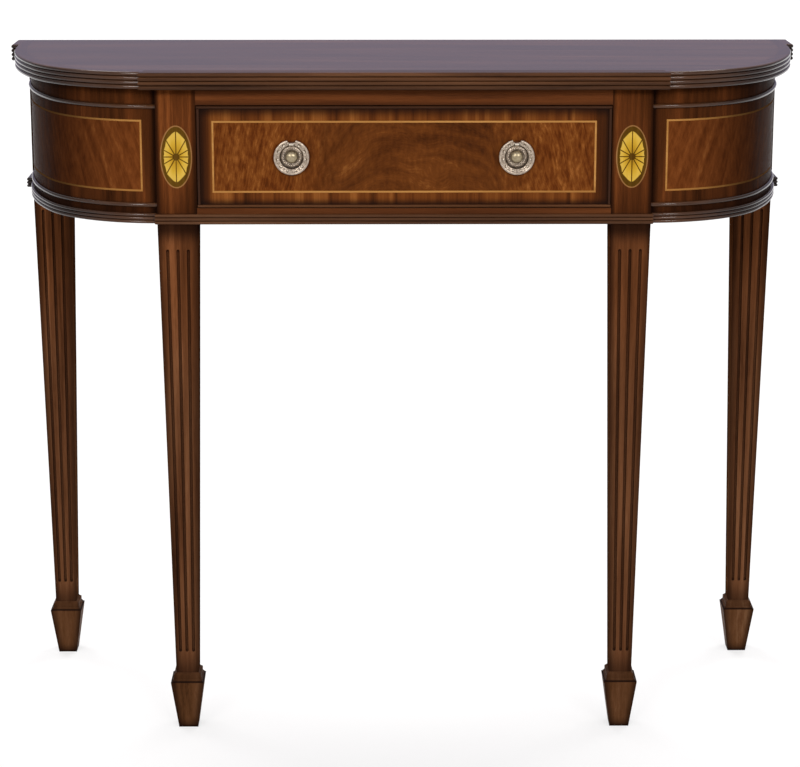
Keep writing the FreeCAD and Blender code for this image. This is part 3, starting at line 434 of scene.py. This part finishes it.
def leg_wood(end):
    """Wood of the front or rear legs, each with its stile and its fluted shaft."""
    finish = Finish(f"{end}_leg_mahogany", roughness=0.5, specular=0.0)
    level, height = grain(finish, *fibre_run(finish, "z"))
    low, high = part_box(f"{end}_right_leg")
    middle = (low + high) / 2
    on_stile = finish.ease(finish.z, APRON_LOW_Z - 2 * MM, APRON_LOW_Z + 2 * MM)
    tone = finish.blend(on_stile, shaft_tone(finish, level, middle), stile_tone(finish, level, middle))
    return finish.paint(hollows_glazed_and_shaded(finish, tone, distance=3.5 * MM, strength=0.6), height)


def foot_wood(end):
    """Foot wood, dark along its edges, at the toe and on the mouldings, with a painted shadow line below the
    mouldings.
    """
    finish = Finish(f"{end}_foot_mahogany", roughness=0.42, specular=0.01)
    level, height = grain(finish, *fibre_run(finish, "z"))
    low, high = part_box(f"{end}_right_foot")
    arris = to_upright_edge(finish, (low + high) / 2, (0, TOE_HALF), (SPADE_HEIGHT, SPADE_HALF))
    tone = finish.ramp(level, FOOT)
    tone = shaded(finish, tone, arris, full=0.0, gone=FOOT_ARRIS_GLAZE, strength=0.75)
    tone = shaded(finish, tone, finish.z, full=0.0, gone=TOE_GLAZE, strength=0.6)
    tone = shaded(finish, tone, finish.z, full=SPADE_HEIGHT, gone=SPADE_HEIGHT - 1 * MM, strength=0.4)
    # painted shadow line under the ledge of the mouldings
    line = finish.inside(finish.z, SPADE_HEIGHT - 0.3 * MM, SPADE_HEIGHT + 1.4 * MM, soft=0.4 * MM)
    tone = finish.blend(finish.math("MULTIPLY", line, 0.85), tone, GLAZE_AND_SHADE)
    return finish.paint(hollows_glazed_and_shaded(finish, tone, distance=6 * MM, strength=0.8, deep=0.5), height)


def flame_veneer(finish):
    """The tone and height of veneer with a plume that arches in the middle, and mottled sides."""
    wander = finish.noise(finish.scaled(finish.place, PLUME_WAVES), detail=2)
    aside = finish.apart(finish.x, PLUME_X)
    on_sides = finish.ease(aside, PLUME_HALF, PLUME_SIDES)
    bow = finish.math("MULTIPLY", finish.math("POWER", aside, PLUME_BEND_POWER), PLUME_BEND)
    arched = finish.math("ADD", finish.z, bow)
    across = finish.math("ADD", arched, finish.math("MULTIPLY", wander, PLUME_WANDER))
    along = finish.math("MULTIPLY_ADD", finish.z, on_sides, finish.x)
    side_along = finish.math("MULTIPLY", along, SIDES_PACKED_ALONG)
    side_level, height = grain(finish, side_along, across, finish.y, figure=1.2, shares=MOTTLED_SHARES)
    plume_along = finish.math("MULTIPLY", along, PLUME_PACKED_ALONG)
    plume_across = finish.math("MULTIPLY", across, PLUME_PACKED_ACROSS)
    plume_level, _ = grain(finish, plume_along, plume_across, finish.y, figure=1.5, shares=PLUME_SHARES)
    sides = finish.ramp(flecked(finish, side_level, share=0.4), FLAME)
    plume = finish.ramp(flecked(finish, plume_level, share=0.16), PLUME)
    return finish.blend(on_sides, plume, sides), height


def barred_crossband(finish):
    """The tone and height of the band round the veneer, with upright bars, darkened by glaze and painted
    shade towards the drawer's edge.
    """
    across = finish.math("MULTIPLY", finish.x, BARS_PACKED_ACROSS)
    level, height = grain(finish, finish.z, across, finish.y, figure=0.6, shares=BAR_SHARES)
    # glaze and painted shade where the crossband meets the cockbead
    shading = [
        (finish.math("SUBTRACT", DRAWER_HIGH.z, finish.z), DRAWER_TOP_GLAZE_AND_SHADE),
        (finish.math("SUBTRACT", finish.z, DRAWER_LOW.z), DRAWER_BOTTOM_GLAZE_AND_SHADE),
        (finish.math("SUBTRACT", DRAWER_HIGH.x, finish.aside()), DRAWER_SIDE_GLAZE_AND_SHADE),
    ]
    return edge_shaded(finish, finish.ramp(level, CROSSBAND), shading), height


def drawer_wood():
    """Flame veneer inside the stringing of the drawer, and a crossband outside it."""
    finish = Finish("drawer_veneer", roughness=0.35, specular=0.03)
    field, field_height = flame_veneer(finish)
    band, band_height = barred_crossband(finish)
    across = finish.inside(finish.x, DRAWER_STRING_LOW.x, DRAWER_STRING_HIGH.x, STRING_SOFT)
    upright = finish.inside(finish.z, DRAWER_STRING_LOW.z, DRAWER_STRING_HIGH.z, STRING_SOFT)
    tone = finish.blend(finish.math("MULTIPLY", across, upright), band, field)
    height = finish.math("MAXIMUM", field_height, band_height)
    return finish.paint(hollows_glazed_and_shaded(finish, tone, distance=4 * MM, strength=0.6), height)


def end_wood():
    """Ribbon veneer that leans across each end, inside a crossband, with painted shade towards the back."""
    finish = Finish("end_veneer", roughness=0.25, specular=0.001)
    along, through, up = round_the_end(finish)
    across = finish.math("SUBTRACT", along, finish.math("MULTIPLY", up, RIBBON_LEAN))
    level, height = grain(finish, up, across, through, figure=1.5)
    field = finish.ramp(flecked(finish, level, share=0.25), PANEL)
    band_level, _ = grain(finish, up, along, through)
    band = finish.ramp(band_level, STILE)
    # painted shade in the corner where the end meets the stile
    from_stile = finish.math("SUBTRACT", finish.aside(), STILE_HIGH.x)
    band = shaded(finish, band, from_stile, full=0.0, gone=END_STILE_SHADE, strength=0.9)
    band = shaded(finish, band, finish.z, full=LOW_BEAD_Z - 2 * MM, gone=LOW_BEAD_Z + 2 * MM, strength=0.6)
    upright = finish.inside(finish.z, END_STRING_LOW.z, END_STRING_HIGH.z, STRING_SOFT)
    past_front = finish.ease(finish.aside(), END_STRING_LOW.x, END_STRING_LOW.x + STRING_WIDTH)
    before_back = finish.ease(finish.y, END_STRING_HIGH.y - STRING_WIDTH, END_STRING_HIGH.y, 1.0, 0.0)
    in_field = finish.math("MULTIPLY", upright, finish.math("MULTIPLY", past_front, before_back))
    tone = finish.blend(in_field, band, field)
    # painted shade where the end turns away from the light
    tone = painted_shade_to_back(finish, tone, start=15 * MM, end=155 * MM, strength=0.85)
    return finish.paint(hollows_glazed_and_shaded(finish, tone, distance=8 * MM, strength=0.5), height)


def petal_wood():
    """Fan petals with straight ends, scorched towards the hub as inlay is in hot sand."""
    finish = Finish("fan_satinwood", roughness=0.35)
    aside = finish.math("SUBTRACT", finish.aside(), FAN_CENTRE.x)
    above = finish.math("SUBTRACT", finish.z, FAN_CENTRE.z)
    across_share = finish.math("DIVIDE", aside, FAN_HALF.x)
    up_share = finish.math("DIVIDE", above, FAN_HALF.z)
    reach = finish.length(across_share, up_share)
    turn = finish.math("ARCTAN2", aside, above)
    petal_share = finish.math("FRACT", finish.math("MULTIPLY_ADD", turn, PETALS / FULL_TURN, PETALS))
    off_axis = finish.math("ABSOLUTE", finish.math("MULTIPLY_ADD", petal_share, 2.0, -1.0))
    corner = finish.math("POWER", off_axis, PETAL_CORNER_POWER)
    straight = finish.math("MULTIPLY_ADD", corner, -PETAL_CORNER, reach)
    level, height = grain(finish, finish.z, finish.x, finish.y)
    scorched = finish.ease(reach, *SCORCH_REACH, start=0.0, end=0.65)
    petals = finish.ramp(finish.math("MULTIPLY_ADD", level, 0.35, scorched), SATINWOOD)
    past_end = finish.ease(straight, *PETAL_ENDS)
    tone = finish.blend(past_end, petals, finish.ramp(level, FAN_GROUND))
    return finish.paint(tone, height, FILLED_PORES)


# Metal

MOTTLE_WAVES = (420, 420, 420)
PATINA_REACH = 2 * MM
PATINA_DEPTHS = (0.3, 0.85)


def worn_metal(name, bright, dull, patina, roughness):
    """Cast metal, bright where hands rub it and dark in its hollows."""
    finish = Finish(name, roughness, specular=0.5, metallic=1)
    mottle = finish.noise(finish.scaled(finish.place, MOTTLE_WAVES), detail=4)
    tone = finish.blend(mottle, colour(*dull), colour(*bright))
    hollow = finish.ease(finish.corners(PATINA_REACH), *PATINA_DEPTHS, start=1.0, end=0.0)
    return finish.paint(finish.blend(hollow, tone, colour(*patina)))


# Finishes of the nodes, by the first word in the list that a node's name contains

front_moulding = moulded_wood("front_moulding_mahogany", "x", roughness=0.26, specular=0.13)
end_moulding = moulded_wood("end_moulding_mahogany", "round", roughness=0.14, specular=0.3, far_shade=0.9)
top_wood = plain_wood(
    "top_mahogany", TOP, "x", roughness=0.18, specular=0.5, shade=0, pores=POLISHED_PORES)
end_string = plain_wood(
    "end_string_boxwood", BOXWOOD, "round", specular=0.0, shade=0, far_shade=0.85)
apron_wood = rail_wood()
level_cockbead = plain_wood("level_cockbead_mahogany", COCKBEAD, "x", roughness=0.25, specular=0.08)
upright_cockbead = plain_wood("upright_cockbead_mahogany", COCKBEAD, "z", roughness=0.25, specular=0.08)
lower_cockbead = plain_wood("lower_cockbead_mahogany", MOULDING, "x", roughness=0.25, specular=0.08)
front_leg = leg_wood("front")
front_foot = foot_wood("front")
lengthwise_lining = plain_wood("lengthwise_lining", LINING, "y", roughness=0.6, shade=0.4)
crosswise_lining = plain_wood("crosswise_lining", LINING, "x", roughness=0.6, shade=0.4)
silver = worn_metal("pull_silver", (188, 173, 156), (152, 137, 122), (48, 40, 34), roughness=0.34)
rubbed = worn_metal("pull_rubbed_silver", (222, 210, 194), (196, 184, 168), (70, 60, 52), roughness=0.3)
gilt = worn_metal("pull_gilt", (164, 150, 124), (140, 127, 102), (94, 82, 65), roughness=0.38)
steel = worn_metal("screw_steel", (168, 168, 170), (140, 140, 144), (60, 58, 56), roughness=0.4)

NODE_FINISHES = [
    ("fan_petals", petal_wood()),
    ("fan_ground", plain_wood("fan_ground_wood", FAN_GROUND, "z", shade=0)),
    ("fan_border", plain_wood("fan_border_wood", FAN_BORDER, "z", shade=0)),
    ("end_stringing", end_string),
    ("stringing", plain_wood("drawer_string_boxwood", BOXWOOD, "x", shade=0)),
    ("upper_cockbead", level_cockbead),
    ("lower_cockbead", lower_cockbead),
    ("cockbead", upright_cockbead),
    ("drawer_front", drawer_wood()),
    ("drawer_back", crosswise_lining),
    ("drawer_bottom", crosswise_lining),
    ("drawer_stops", crosswise_lining),
    ("drawer", lengthwise_lining),
    ("glue_blocks", crosswise_lining),
    ("dowels", crosswise_lining),
    ("end_apron", end_wood()),
    ("top_edge_front", front_moulding),
    ("base_moulding_front", front_moulding),
    ("top_edge", end_moulding),
    ("top_ear", end_moulding),
    ("base_moulding", end_moulding),
    ("bead", end_moulding),
    ("top_board", top_wood),
    ("front_left_leg", front_leg),
    ("front_right_leg", front_leg),
    ("leg", leg_wood("rear")),
    ("front_left_foot", front_foot),
    ("front_right_foot", front_foot),
    ("foot", foot_wood("rear")),
    ("rail", apron_wood),
    ("back_apron", apron_wood),
    ("nuts", steel),
    ("screws", steel),
    ("pull", silver),
]
for name, node in frame["nodes"].items():
    node.material_slots[0].material = next(finish for word, finish in NODE_FINISHES if word in name)


# Ring pulls


def faces_round(verts):
    """Every face that touches one of the points."""
    return {face for vert in verts for face in vert.link_faces}


class Casting:
    """One mesh, cast in coordinates across, up and out from the middle of a pull on the drawer's face."""

    def __init__(self):
        self.mesh = bmesh.new()

    def turned(self, profile, slot=0, start=0.0, end=FULL_TURN, steps=96, closed=False):
        """A profile of (radius, out) points turned clockwise from straight up.

        A closed profile that doesn't go all the way round gets capped ends.
        """
        whole = math.isclose(end - start, FULL_TURN)
        count = steps if whole else steps + 1
        rings = []
        for index in range(count):
            turn = start + (end - start) * index / steps
            spots = [(radius * math.sin(turn), radius * math.cos(turn), out) for radius, out in profile]
            rings.append([self.mesh.verts.new(spot) for spot in spots])
        for index in range(steps):
            here, there = rings[index], rings[(index + 1) % count]
            for side in range(len(profile) if closed else len(profile) - 1):
                after = (side + 1) % len(profile)
                face = self.mesh.faces.new((here[side], there[side], there[after], here[after]))
                face.material_index = slot
                face.smooth = True
        if closed and not whole:
            self.mesh.faces.new(rings[0])
            self.mesh.faces.new(reversed(rings[-1]))

    def bead(self, radius, turn, out, sizes, slot=0):
        """An oval bead with half sizes round, from and out of the middle."""
        seat = Matrix.Rotation(-turn, 4, "Z") @ Matrix.Translation((0, radius, out))
        move = seat @ Matrix.Diagonal((*sizes, 1))
        made = bmesh.ops.create_icosphere(self.mesh, subdivisions=3, radius=1, matrix=move)
        for face in faces_round(made["verts"]):
            face.material_index = slot
            face.smooth = True

    def bar(self, profile, half_length, round_off, slot=0):
        """A profile of (up, out) points carried sideways, with its edges rounded off."""
        left = [self.mesh.verts.new((-half_length, *point)) for point in profile]
        right = [self.mesh.verts.new((half_length, *point)) for point in profile]
        faces = [self.mesh.faces.new(reversed(left)), self.mesh.faces.new(right)]
        for index in range(len(profile)):
            after = (index + 1) % len(profile)
            faces.append(self.mesh.faces.new((left[index], left[after], right[after], right[index])))
        edges = list(dict.fromkeys(edge for face in faces for edge in face.edges))
        rounded = bmesh.ops.bevel(
            self.mesh, geom=edges, offset=round_off, segments=3, profile=0.5, affect="EDGES")
        for face in rounded["faces"]:
            face.smooth = True
        for face in faces_round(rounded["verts"]):
            face.material_index = slot

    def pin(self, start, end, radius, up, out):
        """A round pin from side to side."""
        move = Matrix.Translation(((start + end) / 2, up, out)) @ Matrix.Rotation(math.pi / 2, 4, "Y")
        sizes = {"radius1": radius, "radius2": radius, "depth": abs(end - start)}
        made = bmesh.ops.create_cone(self.mesh, segments=24, cap_ends=True, matrix=move, **sizes)
        for face in faces_round(made["verts"]):
            face.smooth = len(face.verts) == 4

    def piece(self, name, middle, finishes):
        """The finished object, with its middle at a place on the drawer's face."""
        bmesh.ops.recalc_face_normals(self.mesh, faces=self.mesh.faces)
        stand = Matrix((
            (1, 0, 0, middle.x),
            (0, 0, -1, middle.y),
            (0, 1, 0, middle.z),
            (0, 0, 0, 1),
        ))
        self.mesh.transform(stand)
        data = bpy.data.meshes.new(name)
        self.mesh.to_mesh(data)
        self.mesh.free()
        for finish in finishes:
            data.materials.append(finish)
        obj = bpy.data.objects.new(name, data)
        scene.collection.objects.link(obj)
        return obj


def arc(middle, radii, start, end, steps):
    """Points (radius, out) of an oval arc, with angles in degrees from its outer side towards its front."""
    turns = [math.radians(start + (end - start) * index / steps) for index in range(steps + 1)]
    return [(middle[0] + radii[0] * math.cos(turn), middle[1] + radii[1] * math.sin(turn)) for turn in turns]


def in_metres(*lengths):
    """Lengths that are written in millimetres."""
    return tuple(length * MM for length in lengths)


# Sizes of the plate, from the middle outwards

DOME_RADIUS = 7.0 * MM
DOME_HEIGHT = 4.8 * MM
DOME_MARGIN = 0.9 * MM
ROPE_RADIUS = 9.4 * MM
ROPE_BEADS = 22
ROPE_BEAD = in_metres(1.2, 1.3, 1.2)
BED_HALF = 1.2 * MM
BED_FOOT_HALF = 1.6 * MM
PLATE_RADIUS = 13.1 * MM
PLATE_THICK = 1.1 * MM
PLATE_ROUNDING = 0.4 * MM
BED_OUT = PLATE_THICK * 1.5
ROPE_OUT = PLATE_THICK * 1.4
STUD_RADIUS = 2 * MM
STUD_LENGTH = 24 * MM
STUD_TIP = 0.5 * MM

# The lug: points (up, out) of its outline, from its lower side to its upper side

LUG_OUTLINE = [
    in_metres(12.7, 0),
    in_metres(12.9, 4.6),
    in_metres(13.5, 5.6),
    in_metres(15.1, 5.6),
    in_metres(16.0, 4.8),
    in_metres(16.5, 0),
]
LUG_HALF = 2.6 * MM
LUG_ROUNDING = 0.3 * MM

# The ring: points (radius, out) of its inner edge, measured from its pivot, then its rim, border and ends

RING_INNER_EDGE = [
    in_metres(13.2, -2.1),
    in_metres(12.9, -1.0),
    in_metres(13.3, -0.3),
    in_metres(14.2, 0.0),
    in_metres(15.6, 0.0),
    in_metres(16.3, 0.3),
]
RING_MIDDLE = 16.3 * MM
RIM_RADIUS = 18.1 * MM
RIM_SIZES = in_metres(1.5, 1.2)
RIM_ANGLES = (145, -85)
BORDER_BEADS = 11
BEAD_RADIUS = 14.9 * MM
BEAD_OUT = 0.3 * MM
BEAD_SIZES = in_metres(1.5, 1.4, 1.8)
DART_RADIUS = 15.2 * MM
DART_SIZES = in_metres(1.0, 1.6, 1.0)
RING_END_TURN = math.radians(14)
RING_END_SIZES = in_metres(0.5, 2.8, 1.5)
RING_END_SINK = 0.3 * MM
PIN_RADIUS = 1.1 * MM
PIN_START = 2.3 * MM
PIN_OVERLAP = 1.08


def pull_plate(side, middle):
    """Back plate with a rope of beads round a gilt dome, the lug that the ring hangs from, and the stud."""
    casting = Casting()
    plate = [
        (0, 0),
        (PLATE_RADIUS, 0),
        (PLATE_RADIUS, PLATE_THICK / 2),
        (PLATE_RADIUS - PLATE_ROUNDING, PLATE_THICK),
        (ROPE_RADIUS + BED_FOOT_HALF, PLATE_THICK),
        (ROPE_RADIUS + BED_HALF, BED_OUT),
        (ROPE_RADIUS - BED_HALF, BED_OUT),
        (DOME_RADIUS + DOME_MARGIN, PLATE_THICK),
        (DOME_RADIUS, PLATE_THICK),
    ]
    casting.turned(plate)
    dome = arc((0, PLATE_THICK), (DOME_RADIUS, DOME_HEIGHT), start=0, end=90, steps=14)
    casting.turned(dome, slot=1)
    for index in range(ROPE_BEADS):
        casting.bead(ROPE_RADIUS, FULL_TURN * index / ROPE_BEADS, ROPE_OUT, ROPE_BEAD)
    casting.bar(LUG_OUTLINE, LUG_HALF, LUG_ROUNDING, slot=2)
    stud = [
        (0, 0),
        (STUD_RADIUS, 0),
        (STUD_RADIUS, STUD_TIP - STUD_LENGTH),
        (STUD_RADIUS - STUD_TIP, -STUD_LENGTH),
        (0, -STUD_LENGTH),
    ]
    casting.turned(stud, steps=32)
    piece = casting.piece(f"{side}_plate_casting", middle, [silver, gilt, rubbed])
    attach(piece, "drawer")
    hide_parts(f"{side}_pull_plate")


def pull_ring(side, middle, pivot):
    """Open ring with a round rim and a border of beads and darts on its inner edge, hung on two pins."""
    casting = Casting()
    start, end = RING_END_TURN, FULL_TURN - RING_END_TURN
    section = [(radius, pivot.z + out) for radius, out in RING_INNER_EDGE]
    section += arc((RIM_RADIUS, pivot.z), RIM_SIZES, *RIM_ANGLES, steps=14)
    casting.turned(section, start=start, end=end, steps=120, closed=True)
    for turn in (start, end):
        casting.bead(RING_MIDDLE, turn, pivot.z - RING_END_SINK, RING_END_SIZES)
    for index in range(BORDER_BEADS):
        on_bead = FULL_TURN * index / BORDER_BEADS
        if start < on_bead < end:
            casting.bead(BEAD_RADIUS, on_bead, pivot.z + BEAD_OUT, BEAD_SIZES, slot=1)
        on_dart = FULL_TURN * (index + 0.5) / BORDER_BEADS
        if start < on_dart < end:
            casting.bead(DART_RADIUS, on_dart, pivot.z, DART_SIZES)
    pin_end = RING_MIDDLE * math.sin(start) * PIN_OVERLAP
    for way in (-1, 1):
        casting.pin(way * PIN_START, way * pin_end, PIN_RADIUS, pivot.y, pivot.z)
    piece = casting.piece(f"{side}_ring_casting", middle, [silver, rubbed])
    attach(piece, f"{side}_ring")
    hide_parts(f"{side}_pull_ring")


for joint in frame["joints"]:
    if joint["type"] == "hinge":
        side = joint["child"].split("_")[0]
        plate_low, plate_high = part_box(f"{side}_pull_plate")
        hinge = Vector(joint["pos_m"])
        middle = Vector((hinge.x, DRAWER_LOW.y, plate_low.z + (plate_high.x - plate_low.x) / 2))
        pivot = Vector((0, hinge.z - middle.z, middle.y - hinge.y))
        pull_plate(side, middle)
        pull_ring(side, middle, pivot)


# Floor and light: the walls and panels begin and end where a direction of length 1 has these parts

FLOOR_REACH = 40
FLOOR_TONES = (colour(154, 153, 152), colour(158, 157, 156))
FLOOR_CLOUD_WAVES = (0.7, 0.7, 0.7)
FLOOR_GLOW = 0.64
FRONT_WALL = colour(166, 163, 162)
BACK_WALL = colour(142, 137, 158)
SIDE_WALL = colour(116, 113, 116)
CEILING = colour(228, 226, 230)
FRONT_TO_BACK = (-0.3, 0.3)
MIDDLE_TO_SIDE = (0.35, 0.85)
WALL_TO_CEILING = (0.05, 0.75)
PANEL_TONE = (1.3, 1.28, 1.25, 1)
PANEL_ASIDE = (0.72, 0.95)
PANEL_BACK = (-0.2, 0.0)
PANEL_HEIGHT = (0.1, 0.5)
PANEL_SOFT = 0.05
FRONT_LAMPS = {"heading": 24, "height": 22, "strength": 0.95, "spread": 14}
BACK_LAMPS = {"heading": 140, "height": 60, "strength": 0.95, "spread": 20}


def floor_finish():
    """Paper that is white to the eye and in reflections, and grey in the light that it throws back."""
    finish = Finish("floor_paper", roughness=0.9, specular=0.1)
    path = finish.add("ShaderNodeLightPath").outputs
    seen = finish.math("MAXIMUM", path["Is Camera Ray"], path["Is Glossy Ray"])
    seen = finish.math("MAXIMUM", seen, path["Is Transmission Ray"])
    finish.feed(finish.shader.inputs["Emission Strength"], finish.math("MULTIPLY", seen, FLOOR_GLOW))
    finish.shader.inputs["Emission Color"].default_value = (1, 1, 1, 1)
    cloud = finish.noise(finish.scaled(finish.place, FLOOR_CLOUD_WAVES), detail=2)
    return finish.paint(finish.blend(cloud, *FLOOR_TONES))


def studio_world():
    """Walls that are dim at the sides, a bright ceiling, and a pale panel on each side of the front."""
    made = bpy.data.worlds.new("studio")
    made.use_nodes = True
    sky = Nodes(made.node_tree)
    x, y, z = sky.split(sky.add("ShaderNodeTexCoord").outputs["Generated"])
    aside = sky.math("ABSOLUTE", x)
    walls = sky.blend(sky.ease(y, *FRONT_TO_BACK), FRONT_WALL, BACK_WALL)
    walls = sky.blend(sky.ease(aside, *MIDDLE_TO_SIDE), walls, SIDE_WALL)
    tone = sky.blend(sky.ease(z, *WALL_TO_CEILING), walls, CEILING)
    in_front = sky.ease(y, *PANEL_BACK, 1.0, 0.0)
    panel = sky.math("MULTIPLY", sky.inside(aside, *PANEL_ASIDE, PANEL_SOFT), in_front)
    panel = sky.math("MULTIPLY", panel, sky.inside(z, *PANEL_HEIGHT, PANEL_SOFT))
    tone = sky.blend(panel, tone, PANEL_TONE)
    sky.feed(made.node_tree.nodes["Background"].inputs["Color"], tone)
    return made


floor_mesh = bpy.data.meshes.new("floor")
floor_corners = [
    (-FLOOR_REACH, -FLOOR_REACH, 0),
    (FLOOR_REACH, -FLOOR_REACH, 0),
    (FLOOR_REACH, FLOOR_REACH, 0),
    (-FLOOR_REACH, FLOOR_REACH, 0),
]
floor_mesh.from_pydata(floor_corners, [], [(0, 1, 2, 3)])
floor_mesh.materials.append(floor_finish())
floor = bpy.data.objects.new("floor", floor_mesh)
scene.collection.objects.link(floor)

scene.world = studio_world()

for lamps in (FRONT_LAMPS, BACK_LAMPS):
    for way in (-1, 1):
        lamp_data = bpy.data.lights.new("soft_lamp", "SUN")
        lamp_data.energy = lamps["strength"]
        lamp_data.angle = math.radians(lamps["spread"])
        lamp = bpy.data.objects.new("soft_lamp", lamp_data)
        lamp.rotation_euler = (math.radians(90 - lamps["height"]), 0, math.radians(way * lamps["heading"]))
        scene.collection.objects.link(lamp)


# Camera, with its tilt down and its turn in degrees

CAMERA_PLACE = (-0.02, -2.82, 1.095)
CAMERA_TILT = 13.37
CAMERA_TURN = -0.33
CAMERA_LENS = 111.5
CAMERA_SENSOR = 36
CAMERA_SHIFT = -0.05

camera_data = bpy.data.cameras.new("camera")
camera_data.sensor_width = CAMERA_SENSOR
camera_data.lens = CAMERA_LENS
camera_data.shift_y = CAMERA_SHIFT
camera = bpy.data.objects.new("camera", camera_data)
camera.location = CAMERA_PLACE
camera.rotation_euler = (math.radians(90 - CAMERA_TILT), 0, math.radians(CAMERA_TURN))
scene.collection.objects.link(camera)
scene.camera = camera
